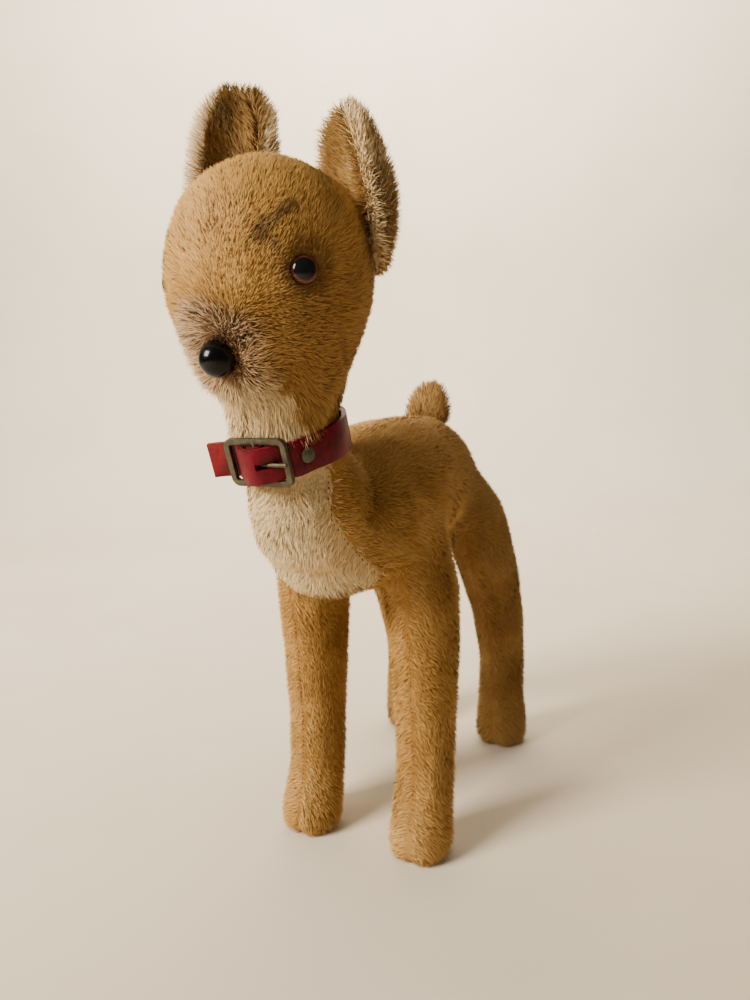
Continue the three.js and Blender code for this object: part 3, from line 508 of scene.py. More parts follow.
@dataclass(frozen=True)
class LeatherFinish:
    """Smooth dyed strap leather, worn lighter on its edges and at the cut end."""

    name: str = "red_leather"
    deep: Colour = tone(0.045, 0.0, 0.003)
    bright: Colour = tone(0.13, 0.0, 0.012)
    worn: Colour = tone(0.2, 0.015, 0.014)
    roughness: float = 0.42
    edge_wear: float = 0.35
    end_wear: float = 0.8

    def material(self, effects: Effects, cut_end: Vector, reach: float) -> bpy.types.Material:
        """Builds the leather.

        Args:
            effects: The shared effects.
            cut_end: Place of the strap's cut end.
            reach: How far the wear runs back from the cut end.

        Returns:
            The material.
        """
        material, g, shader = new_material(self.name)
        place = g.add("ShaderNodeTexCoord").outputs["Object"]
        away = g.add("ShaderNodeVectorMath", {0: place, 1: cut_end}, operation="DISTANCE").outputs["Value"]
        blotch = effects.blotches.place(g, Scale=140.0, Low=0.36, High=0.66)["Mask"]
        edges = effects.worn_edges.place(g, Start=0.53, End=0.68, Scale=900.0)["Mask"]
        colour = g.mix(blotch, self.deep, self.bright)
        near_end = g.remap(away, reach * 0.35, reach, 1.0, 0.0)
        scuffed = g.math("MULTIPLY", near_end, g.remap(g.noise(420.0, 4.0, 0.6), 0.3, 0.6, 0.45, 1.0))
        rubbed = g.math("MULTIPLY", edges, self.edge_wear)
        worn = g.math("MAXIMUM", rubbed, g.math("MULTIPLY", scuffed, self.end_wear))
        colour = g.mix(worn, colour, self.worn)
        rough = g.math("ADD", self.roughness, g.math("MULTIPLY", g.math("MAXIMUM", scuffed, edges), 0.3))
        pores = effects.grain.place(g, Scale=1700.0, Cells=0.7)["Height"]
        creases = g.noise(260.0, 2.0, 0.4)
        height = g.math("ADD", g.math("MULTIPLY", pores, 0.6), g.math("MULTIPLY", creases, 0.8))
        bump = g.add("ShaderNodeBump", {"Height": height, "Strength": 0.22, "Distance": 0.0003})
        feed(g, shader, Base_Color=colour, Roughness=rough, Normal=bump.outputs[0])
        feed(g, shader, Specular_IOR_Level=0.16, Coat_Weight=0.03, Coat_Roughness=0.25)
        return material


@dataclass(frozen=True)
class MetalFinish:
    """Metal with patches of patina and bright worn edges."""

    name: str
    body: Colour
    patina: Colour
    bright: Colour
    roughness: float = 0.4
    patina_scale: float = 500.0
    metallic: float = 0.85
    dust: Colour = tone(0.4, 0.33, 0.25)

    def material(self, effects: Effects) -> bpy.types.Material:
        """Returns the material of the metal."""
        material, g, shader = new_material(self.name)
        tarnish = effects.blotches.place(g, Scale=self.patina_scale, Low=0.42, High=0.6)["Mask"]
        edges = effects.worn_edges.place(g, Start=0.54, End=0.72, Scale=1500.0)["Mask"]
        settled = effects.dust.place(g, Amount=0.2, Scale=1500.0)["Mask"]
        colour = g.mix(tarnish, self.body, self.patina)
        colour = g.mix(edges, colour, self.bright)
        colour = g.mix(settled, colour, self.dust)
        rough = g.math("ADD", self.roughness, g.math("MULTIPLY", tarnish, 0.22))
        pits = effects.grain.place(g, Scale=2200.0, Cells=0.4)["Height"]
        bump = g.add("ShaderNodeBump", {"Height": pits, "Strength": 0.25, "Distance": 0.0002})
        feed(g, shader, Base_Color=colour, Roughness=rough, Normal=bump.outputs[0], Metallic=self.metallic)
        return material


@dataclass(frozen=True)
class EyeFinish:
    """Brown glass with a black pupil, painted behind a clear dome."""

    name: str = "brown_glass"
    pupil: Colour = tone(0.004, 0.004, 0.005)
    iris: Colour = tone(0.05, 0.012, 0.005)
    rim: Colour = tone(0.12, 0.04, 0.022)

    def material(
        self, centre: Vector, facing: Vector, pupil_radius: float, radius: float
    ) -> bpy.types.Material:
        """Builds the glass of one eye.

        Args:
            centre: Middle of the eye.
            facing: Direction that the eye looks in.
            pupil_radius: Radius of the black pupil.
            radius: Radius of the eye.

        Returns:
            The material.
        """
        material, g, shader = new_material(self.name)
        place = g.add("ShaderNodeTexCoord").outputs["Object"]
        kind = "ShaderNodeVectorMath"
        from_centre = g.add(kind, {0: place, 1: centre}, operation="SUBTRACT").outputs[0]
        crossed = g.add(kind, {0: from_centre, 1: facing}, operation="CROSS_PRODUCT").outputs[0]
        out = g.add(kind, {0: crossed}, operation="LENGTH").outputs["Value"]
        streaks = g.noise(2600.0, 3.0, 0.6, from_centre)
        iris = g.mix(g.remap(streaks, 0.35, 0.65), self.iris, self.rim)
        colour = g.mix(g.remap(out, pupil_radius * 0.94, pupil_radius * 1.05), self.pupil, iris)
        colour = g.mix(g.remap(out, radius * 0.9, radius), colour, self.iris)
        feed(g, shader, Base_Color=colour, Roughness=0.12, Specular_IOR_Level=0.22)
        feed(g, shader, Coat_Weight=0.15, Coat_Roughness=0.05)
        return material


@dataclass(frozen=True)
class NoseFinish:
    """Polished black glass with faint handling marks."""

    name: str = "black_glass"
    black: Colour = tone(0.0015, 0.0015, 0.002)

    def material(self, effects: Effects) -> bpy.types.Material:
        """Returns the material of the nose."""
        material, g, shader = new_material(self.name)
        haze = effects.blotches.place(g, Scale=420.0, Low=0.4, High=0.7)["Mask"]
        dust = effects.dust.place(g, Amount=0.03, Scale=1800.0)["Mask"]
        colour = g.mix(dust, self.black, tone(0.1, 0.09, 0.07))
        rough = g.remap(haze, 0.0, 1.0, 0.16, 0.26)
        feed(g, shader, Base_Color=colour, Roughness=rough, Specular_IOR_Level=0.2)
        return material


@dataclass(frozen=True)
class PlainFinish:
    """A fibrous or pressed material of two tones, such as board, thread or a floor."""

    name: str
    dark: Colour
    light: Colour
    roughness: float = 0.8
    scale: float = 300.0
    bump: float = 0.3

    def material(self, effects: Effects) -> bpy.types.Material:
        """Returns the two-tone material."""
        material, g, shader = new_material(self.name)
        mask = effects.blotches.place(g, Scale=self.scale, Low=0.35, High=0.65)["Mask"]
        height = effects.grain.place(g, Scale=self.scale * 4.0, Cells=0.3)["Height"]
        bump = g.add("ShaderNodeBump", {"Height": height, "Strength": self.bump, "Distance": 0.0003})
        feed(g, shader, Base_Color=g.mix(mask, self.dark, self.light), Normal=bump.outputs[0])
        feed(g, shader, Roughness=self.roughness)
        return material


GOLDEN_PILE = MohairFinish("golden_mohair_pile")
CREAM_PILE = MohairFinish("cream_mohair_pile")
BACKING = MohairFinish("mohair_backing", roughness=0.85, backing=True)
LEATHER = LeatherFinish()
BRONZE = MetalFinish(
    "dark_bronze", tone(0.075, 0.06, 0.042), tone(0.1, 0.098, 0.062), tone(0.26, 0.2, 0.12), 0.42
)
PRONG_BRONZE = MetalFinish(
    "rubbed_bronze", tone(0.07, 0.055, 0.038), tone(0.08, 0.078, 0.05), tone(0.1, 0.08, 0.05), 0.5
)
RIVET_BRONZE = MetalFinish(
    "greened_bronze", tone(0.085, 0.085, 0.06), tone(0.13, 0.145, 0.1), tone(0.4, 0.36, 0.26), 0.5, 900.0
)
STEEL = MetalFinish("drawn_steel", tone(0.35, 0.35, 0.36), tone(0.2, 0.17, 0.14), tone(0.7, 0.7, 0.7), 0.35)
HARDBOARD = PlainFinish("hardboard", tone(0.12, 0.065, 0.03), tone(0.24, 0.14, 0.07), 0.85, 900.0, 0.5)
THREAD = PlainFinish("seam_thread", tone(0.03, 0.016, 0.008), tone(0.09, 0.045, 0.02), 0.9, 3000.0, 0.3)
FLOOR = PlainFinish("pale_floor", tone(0.66, 0.57, 0.44), tone(0.69, 0.6, 0.47), 0.8, 6.0, 0.05)


# ------------------------------------------------------------ skins and panels
@dataclass
class Patch:
    """The surface data of one skin: places, outward normals, triangles, and each vertex's panel and seam."""

    points: Array
    normals: Array
    triangles: Array
    panel: Array
    seam: Array
    away: Array


@dataclass
class Skin:
    """A closed skin over some frame nodes, a little inside their outer face so that pile can stand on it."""

    name: str
    cover: tuple[str, ...]
    core: tuple[str, ...]
    inset: float
    voxel: float = 1.7 * MM
    swell: float = 0.3 * MM
    rounds: int = 22
    shy: Callable[[Array], Array] = field(default=lambda p: np.ones(len(p)))

    def build(self, nodes: dict[str, bpy.types.Object]) -> tuple[bpy.types.Object, Patch]:
        """Makes the skin's mesh.

        Args:
            nodes: The frame's nodes by name.

        Returns:
            The skin's object and its surface data.
        """
        obj = copy_of_nodes(self.name, [nodes[n] for n in (*self.cover, *self.core)])
        swell = obj.modifiers.new("swell", "DISPLACE")
        swell.strength, swell.mid_level = self.swell, 0.0
        remesh = obj.modifiers.new("remesh", "REMESH")
        remesh.mode, remesh.voxel_size = "VOXEL", self.voxel
        settle(obj)
        keep_outer_face(obj.data)
        soften = obj.modifiers.new("soften", "SMOOTH")
        soften.factor, soften.iterations = 0.5, self.rounds
        settle(obj)
        self._draw_in(obj.data)
        relax = obj.modifiers.new("relax", "SMOOTH")
        relax.factor, relax.iterations = 0.5, 4
        settle(obj)
        shade_smooth(obj.data)
        return obj, self._survey(obj.data, nodes)

    def _draw_in(self, mesh: bpy.types.Mesh) -> None:
        """Moves the skin inwards along its normals."""
        points = positions(mesh)
        depth = (self.inset * self.shy(points) + self.swell)[:, None]
        points -= vertex_normals(mesh) * depth
        mesh.vertices.foreach_set("co", points.astype(np.float32).ravel())
        mesh.update()

    def _survey(self, mesh: bpy.types.Mesh, nodes: dict[str, bpy.types.Object]) -> Patch:
        """Finds each vertex's panel, its distance from the nearest seam and the way from that seam."""
        points = positions(mesh)
        mesh.calc_loop_triangles()
        triangles = np.empty(len(mesh.loop_triangles) * 3, np.int32)
        mesh.loop_triangles.foreach_get("vertices", triangles)
        gaps = np.full((len(self.cover), len(points)), 1.0)
        nearest = np.zeros((len(self.cover), len(points), 3))
        for k, name in enumerate(self.cover):
            data = nodes[name].data
            tree = BVHTree.FromPolygons([v.co for v in data.vertices], [p.vertices for p in data.polygons])
            for i, p in enumerate(points):
                place, _, _, gap = tree.find_nearest(p, 0.03)
                if place is not None:
                    gaps[k, i] = gap
                    nearest[k, i] = place
        order = np.argsort(gaps, axis=0)
        index = np.arange(len(points))
        own = order[0]
        second = order[min(1, len(self.cover) - 1)]
        seam = np.sqrt(np.maximum(gaps[second, index] ** 2 - gaps[own, index] ** 2, 0.0))
        if len(self.cover) == 1:
            seam[:] = 1.0
        away = unit(points - nearest[second, index])
        return Patch(points, vertex_normals(mesh), triangles.reshape(-1, 3), own, seam, away)


# ------------------------------------------------------------ pile
@dataclass
class Roots:
    """Where fibres grow: place, surface normal, panel, distance from the seam and the way from it."""

    place: Array
    normal: Array
    panel: Array
    seam: Array
    away: Array


@dataclass
class Coat:
    """How pile grows: functions of the roots give its lay, length, lean, density, colour zones and wear."""

    lay: Callable[[Roots], Array]
    length: Callable[[Roots], Array]
    lean: Callable[[Roots], Array]
    growth: Callable[[Array], Array]
    zones: Callable[[Roots, np.random.Generator], Array]
    worn: Callable[[Roots], Array]


@dataclass
class Pile:
    """Mesh fibres of mohair: flat tapered strands in small tufts, made for one skin."""

    coat: Coat
    density: float
    seed: int
    width: float = 0.29 * MM
    tuft: float = 1.3 * MM
    gather: float = 0.2
    unruly: float = 0.23
    bow: float = 0.55
    sink: float = 0.3 * MM
    clear_of_floor: float = 0.2 * MM

    def scatter(self, patch: Patch) -> Roots:
        """Scatters roots evenly over a skin.

        Args:
            patch: The skin's surface data.

        Returns:
            The roots of all fibres.
        """
        rng = np.random.default_rng(self.seed)
        corners = patch.points[patch.triangles]
        cross = np.cross(corners[:, 1] - corners[:, 0], corners[:, 2] - corners[:, 0])
        area = np.linalg.norm(cross, axis=1) / 2.0
        weight = area * self.coat.growth(corners.mean(axis=1))
        total = weight.sum()
        count = int(total * self.density)
        marks = (np.arange(count) + rng.random(count)) / count * total
        face = np.minimum(np.searchsorted(np.cumsum(weight), marks), len(weight) - 1)
        u, v = rng.random(count), rng.random(count)
        flip = u + v > 1.0
        u[flip], v[flip] = 1.0 - u[flip], 1.0 - v[flip]
        share = np.stack([1.0 - u - v, u, v], axis=1)
        ids = patch.triangles[face]
        spread = share[:, :, None]
        place = (patch.points[ids] * spread).sum(axis=1)
        normal = unit((patch.normals[ids] * spread).sum(axis=1))
        away = unit((patch.away[ids] * spread).sum(axis=1))
        seam = (patch.seam[ids] * share).sum(axis=1)
        main = np.argmax(share, axis=1)
        panel = patch.panel[ids[np.arange(count), main]]
        return Roots(place, normal, panel, seam, away)

    def grow(self, roots: Roots, name: str, rng: np.random.Generator) -> bpy.types.Object:
        """Builds the fibres on some roots.

        Args:
            roots: Where the fibres grow.
            name: Name of the new object.
            rng: Source of all chance values.

        Returns:
            The pile's object.
        """
        roots = select(roots, spatial_order(roots.place))
        count = len(roots.place)
        lay = unit(flat_to(self.coat.lay(roots), roots.normal))
        lean = self.coat.lean(roots)[:, None]
        length = self.coat.length(roots) * rng.uniform(0.78, 1.12, count)
        wild = rng.normal(0.0, self.unruly, (count, 3))
        rise = unit(roots.normal * np.cos(lean) + lay * np.sin(lean) + wild)
        bowed = unit(rise + lay * self.bow + rng.normal(0.0, self.unruly * 0.8, (count, 3)))
        foot = roots.place - roots.normal * self.sink
        tip = foot + (rise * 0.5 + bowed * 0.5) * length[:, None]
        tip = self._gathered(roots.place, tip)
        middle = foot + rise * (length * 0.5)[:, None]
        middle = middle * 0.75 + (foot + tip) / 2.0 * 0.25
        run = unit(tip - foot)
        side = unit(np.cross(run, roots.normal) + rng.normal(0.0, 0.05, (count, 3)))
        twist = rng.uniform(-1.1, 1.1, count)[:, None]
        side = side * np.cos(twist) + np.cross(run, side) * np.sin(twist)
        wide = side * (self.width * rng.uniform(0.7, 1.25, count))[:, None] / 2.0
        rows = np.stack([foot - wide, foot + wide, middle - wide * 0.8, middle + wide * 0.8, tip], axis=1)
        rows[:, :, 2] = np.maximum(rows[:, :, 2], self.clear_of_floor)
        mesh = strand_mesh(name, rows)
        zones = self.coat.zones(roots, rng)
        along = np.array([0.0, 0.0, 0.55, 0.55, 1.0])
        fibre = np.zeros((count, STRAND_POINTS, 3))
        fibre[:, :, 0] = along[None, :]
        fibre[:, :, 1] = rng.random(count)[:, None]
        fibre[:, :, 2] = self.coat.worn(roots)[:, None] * along[None, :]
        set_point_colour(mesh, "pile_fibre", fibre.reshape(-1, 3))
        set_point_colour(mesh, "pile_zone", np.repeat(zones, STRAND_POINTS, axis=0))
        soften_strand_normals(mesh, rows, roots.normal)
        return new_object(name, mesh)

    def _gathered(self, place: Array, tip: Array) -> Array:
        """Draws the tips of neighbouring fibres together into tufts."""
        rng = np.random.default_rng(self.seed + 101)
        count = max(8, int(len(place) / max(1.0, self.density * self.tuft**2)))
        chosen = rng.choice(len(place), min(count, len(place)), replace=False)
        tree = KDTree(len(chosen))
        for k, i in enumerate(chosen):
            tree.insert(place[i], k)
        tree.balance()
        owner = np.fromiter((tree.find(p)[1] for p in place), np.int64, len(place))
        leader = tip[chosen[owner]]
        return tip + (leader - tip) * self.gather


def select(roots: Roots, rows: Array) -> Roots:
    """Returns the chosen rows of some roots."""
    kept = (roots.place, roots.normal, roots.panel, roots.seam, roots.away)
    return Roots(*(values[rows] for values in kept))


def spatial_order(place: Array, cell: float = 3.0 * MM) -> Array:
    """Returns an order in which neighbours in space stay together, along a Morton curve."""
    grid = ((place - place.min(axis=0)) / cell).astype(np.int64)
    code = np.zeros(len(place), np.int64)
    for bit in range(8):
        for axis in range(3):
            code |= ((grid[:, axis] >> bit) & 1) << (3 * bit + axis)
    return np.argsort(code, kind="stable")


def strand_mesh(name: str, rows: Array) -> bpy.types.Mesh:
    """Makes a mesh of flat strands, each with one quad, one triangle and its own cell of the bake map.

    Args:
        name: Name of the mesh.
        rows: Places of the five vertices of each strand.

    Returns:
        The mesh.
    """
    count = len(rows)
    mesh = bpy.data.meshes.new(name)
    mesh.vertices.add(count * STRAND_POINTS)
    mesh.vertices.foreach_set("co", rows.astype(np.float32).ravel())
    pattern = np.array([0, 1, 3, 2, 2, 3, 4])
    corners = (np.arange(count)[:, None] * STRAND_POINTS + pattern).ravel()
    mesh.loops.add(count * len(pattern))
    mesh.loops.foreach_set("vertex_index", corners.astype(np.int32))
    mesh.polygons.add(count * 2)
    starts = (np.arange(count)[:, None] * len(pattern) + np.array([0, 4])).ravel()
    mesh.polygons.foreach_set("loop_start", starts.astype(np.int32))
    mesh.update(calc_edges=True)
    mesh.shade_smooth()
    columns = int(math.ceil(math.sqrt(count)))
    cell = np.stack([np.arange(count) % columns, np.arange(count) // columns], axis=1)
    across, up = [0.15, 0.85, 0.85, 0.15, 0.15, 0.85, 0.5], [0.1, 0.1, 0.5, 0.5, 0.5, 0.5, 0.9]
    inside = np.stack([across, up], axis=1)
    uv = (cell[:, None, :] + inside[None, :, :]) / columns
    layer = mesh.uv_layers.new(name="OFBake")
    layer.uv.foreach_set("vector", uv.astype(np.float32).ravel())
    return mesh


def soften_strand_normals(
    mesh: bpy.types.Mesh, rows: Array, skin_normals: Array, share: float = 0.72
) -> None:
    """Turns the shading normals of strands most of the way to the skin's own, as a dense pile is lit.

    Args:
        mesh: The strands' mesh.
        rows: Places of the five vertices of each strand.
        skin_normals: Normal of the skin under each strand.
        share: How much of the skin's normal is used.
    """
    face = unit(np.cross(rows[:, 1] - rows[:, 0], rows[:, 4] - rows[:, 0]))
    face *= np.sign(np.sum(face * skin_normals, axis=1, keepdims=True) + 1e-6)
    outward = unit(skin_normals * share + face * (1.0 - share))
    spread = np.repeat(outward, STRAND_POINTS, axis=0)
    mesh.normals_split_custom_set_from_vertices(spread.astype(np.float32))


def dress_skin(obj: bpy.types.Object, zones: Array, backing: bpy.types.Material) -> None:
    """Stores colour zones on a skin and gives it the backing material.

    Args:
        obj: The skin's object.
        zones: Colour zones of its vertices.
        backing: The material of the woven backing.
    """
    fibre = np.zeros((len(zones), 3))
    fibre[:, 0] = 0.25
    fibre[:, 1] = 0.35
    set_point_colour(obj.data, "pile_zone", zones)
    set_point_colour(obj.data, "pile_fibre", fibre)
    obj.data.materials.clear()
    obj.data.materials.append(backing)


class Ripple:
    """A smooth seeded field of waves over space, used for swirls of the lay and for rubbed patches."""

    def __init__(self, seed: int, shortest: float, longest: float, waves: int = 14) -> None:
        """Draws the waves.

        Args:
            seed: Seed of the chance values.
            shortest: Shortest wavelength.
            longest: Longest wavelength.
            waves: Number of waves.
        """
        rng = np.random.default_rng(seed)
        size = 2.0 * math.pi / rng.uniform(shortest, longest, waves)
        self.waves = unit(rng.normal(size=(waves, 3))) * size[:, None]
        self.phase = rng.uniform(0.0, 2.0 * math.pi, waves)
        self.push = unit(rng.normal(size=(waves, 3)))

    def vector(self, points: Array) -> Array:
        """Returns a smooth vector of about length one half for each point."""
        return np.sin(points @ self.waves.T + self.phase) @ self.push * (1.0 / math.sqrt(len(self.phase)))

    def value(self, points: Array) -> Array:
        """Returns a smooth value from about -1 to 1 for each point."""
        level = 1.4 / math.sqrt(2 * len(self.phase))
        return np.sin(points @ self.waves.T + self.phase).sum(axis=1) * level


def grow_everywhere(points: Array) -> Array:
    """Returns full growth of pile at every point."""
    return np.ones(len(points))


class Side(Enum):
    """The dog's own left and right."""

    LEFT = 1
    RIGHT = -1

    @property
    def word(self) -> str:
        """Returns the side's name as used in the frame's nodes."""
        return self.name.lower()


@dataclass(frozen=True)
class Landmarks:
    """Places that several sub-assemblies share, all read from the frame."""

    neck: Array
    neck_axis: Array
    middle_x: float
    nose: Array
    nose_radius: float
    eyes: dict[Side, Array]
    eye_facing: dict[Side, Array]

    @staticmethod
    def from_frame(frame: dict) -> "Landmarks":
        """Reads the landmarks from the frame's nodes and joints."""
        joint = next(j for j in frame["joints"] if j["name"] == "neck_swivel")
        low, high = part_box("nose")
        radius = (high.x - low.x) / 2.0
        nose = np.array([(low.x + high.x) / 2.0, low.y + radius, (low.z + high.z) / 2.0])
        eyes, facing = {}, {}
        for side in Side:
            points = positions(frame["nodes"][f"eye_{side.word}"].data)
            centre = np.median(points, axis=0)
            inner = points[np.argmax(np.linalg.norm(points - centre, axis=1))]
            dome = points[np.linalg.norm(points - centre, axis=1) < DOME_REACH]
            eyes[side] = dome.mean(axis=0)
            facing[side] = unit((centre - inner)[None, :])[0]
        neck, axis = np.array(joint["pos_m"], float), np.array(joint["axis"], float)
        return Landmarks(neck, unit(axis[None, :])[0], float(neck[0]), nose, radius, eyes, facing)

    def along_neck(self, points: Array) -> Array:
        """Returns how far along the neck's axis points lie from the joint."""
        return (points - self.neck) @ self.neck_axis

    def from_neck(self, points: Array) -> Array:
        """Returns how far points lie from the neck's axis."""
        rest = points - self.neck
        return np.linalg.norm(rest - np.outer(rest @ self.neck_axis, self.neck_axis), axis=1)


@dataclass
class StuffedBody:
    """Torso, legs and lower neck: one firm stuffed skin in four panels, with golden pile and a cream bib."""

    marks: Landmarks
    inset: float = 0.5 * MM
    pile_length: float = 3.0 * MM
    bib_length: float = 4.0 * MM
    leg_top: float = 100.0 * MM
    strap_half: float = 5.5 * MM
    stray_share: float = 0.12
    # Strength of the painted shade that darkens the pile towards the rear.
    rear_dullness: float = 0.32
    density: float = 3.3e6
    panels: tuple[str, ...] = ("body_side_left", "body_side_right", "belly_gusset", "chest_bib")
    core: tuple[str, ...] = ("body_stuffing", "neck_disc_lower")
    swirl: Ripple = field(default_factory=lambda: Ripple(7, 14 * MM, 45 * MM))
    rubbed: Ripple = field(default_factory=lambda: Ripple(8, 12 * MM, 50 * MM))

    def is_bib(self, roots: Roots) -> Array:
        """Returns where the cream bib is."""
        return roots.panel == self.panels.index("chest_bib")

    def lay(self, roots: Roots) -> Array:
        """Lays the pile back and down over the torso, down the legs and away from every seam."""
        leg = fade_out(self.leg_top - 15 * MM, self.leg_top + 15 * MM, roots.place[:, 2])[:, None]
        outward = np.zeros_like(roots.place)
        outward[:, 0] = np.sign(roots.place[:, 0] - self.marks.middle_x)
        lay = np.array([0.0, 0.8, -0.6]) * (1.0 - leg) + np.array([0.0, 0.1, -1.0]) * leg
        lay += outward * 0.25
        bib = self.is_bib(roots)
        lay[bib] = np.array([0.0, 0.0, -1.0]) + outward[bib] * 0.35
        near = fade_out(1.5 * MM, 9.0 * MM, roots.seam)[:, None]
        return lay + roots.away * near * 1.5 + self.swirl.vector(roots.place) * 0.8

    def length(self, roots: Roots) -> Array:
        """Returns longer pile on the bib and the feet and shorter pile beside the collar."""
        z = roots.place[:, 2]
        length = np.full(len(z), self.pile_length)
        length[self.is_bib(roots)] = self.bib_length
        length *= 1.0 + 0.22 * fade_out(8 * MM, 26 * MM, z)
        sole = smooth_step(-1.0 * MM, 3.0 * MM, z)
        collar = smooth_step(self.strap_half, self.strap_half + 9 * MM, -self.marks.along_neck(roots.place))
        neck = self.marks.from_neck(roots.place) < 28 * MM
        return length * (0.35 + 0.65 * sole) * np.where(neck, 0.35 + 0.65 * collar, 1.0)

    def lean(self, roots: Roots) -> Array:
        """Returns how far fibres lean from the skin's normal."""
        near = fade_out(0.5 * MM, 5.0 * MM, roots.seam)
        patch = self.rubbed.value(roots.place) * 0.16
        below = -self.marks.along_neck(roots.place)
        collar = fade_out(self.strap_half, self.strap_half + 7 * MM, below)
        neck = self.marks.from_neck(roots.place) < 26 * MM
        return 0.62 + patch + near * 0.42 + collar * neck * 0.45

    def growth(self, points: Array) -> Array:
        """Returns no pile under the collar and thin pile on the soles."""
        along = self.marks.along_neck(points)
        under = (along > -self.strap_half) & (self.marks.from_neck(points) < 24 * MM)
        sole = 0.3 + 0.7 * smooth_step(0.5 * MM, 2.0 * MM, points[:, 2])
        return np.where(under, 0.0, 1.0) * sole

    def zones(self, roots: Roots, rng: np.random.Generator) -> Array:
        """Returns cream on the bib and gold elsewhere, with a few strays across the bib's seams and painted
        shade towards the rear.
        """
        zones = np.zeros((len(roots.place), 3))
        bib = self.is_bib(roots)
        low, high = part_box("chest_bib")
        across = (roots.seam < 1.2 * MM) & (roots.place[:, 2] > low.z) & (roots.place[:, 1] < high.y)
        stray = across & (rng.random(len(bib)) < self.stray_share)
        zones[:, 0] = np.where(bib ^ stray, 1.0, 0.0)
        # Painted shade: the gold pile darkens towards the rear, where the body and legs lie in shade.
        rear_shade = smooth_step(0.0, 60 * MM, roots.place[:, 1] + self.rubbed.value(roots.place) * 10 * MM)
        zones[:, 1] = self.rear_dullness * rear_shade * (1.0 - zones[:, 0])
        return zones

    def worn(self, roots: Roots) -> Array:
        """Returns rubbed paler patches, with more wear on the feet and beside the seams."""
        patch = smooth_step(0.15, 1.1, self.rubbed.value(roots.place))
        foot = fade_out(5 * MM, 30 * MM, roots.place[:, 2])
        seam = fade_out(0.0, 5.0 * MM, roots.seam)
        return np.clip(0.4 * patch + 0.25 * foot + 0.2 * seam, 0.0, 0.7)

    def skin(self) -> Skin:
        """Returns how the body's skin is drawn."""
        def shy(points: Array) -> Array:
            """Draws the skin in less on the neck."""
            along = self.marks.along_neck(points)
            neck = (self.marks.from_neck(points) < 22 * MM) & (along > -12 * MM)
            return np.where(neck, 0.45, 1.0)

        return Skin("body_skin", self.panels, self.core, self.inset, shy=shy)

    def coat(self) -> Coat:
        """Returns how the body's pile grows."""
        return Coat(self.lay, self.length, self.lean, self.growth, self.zones, self.worn)


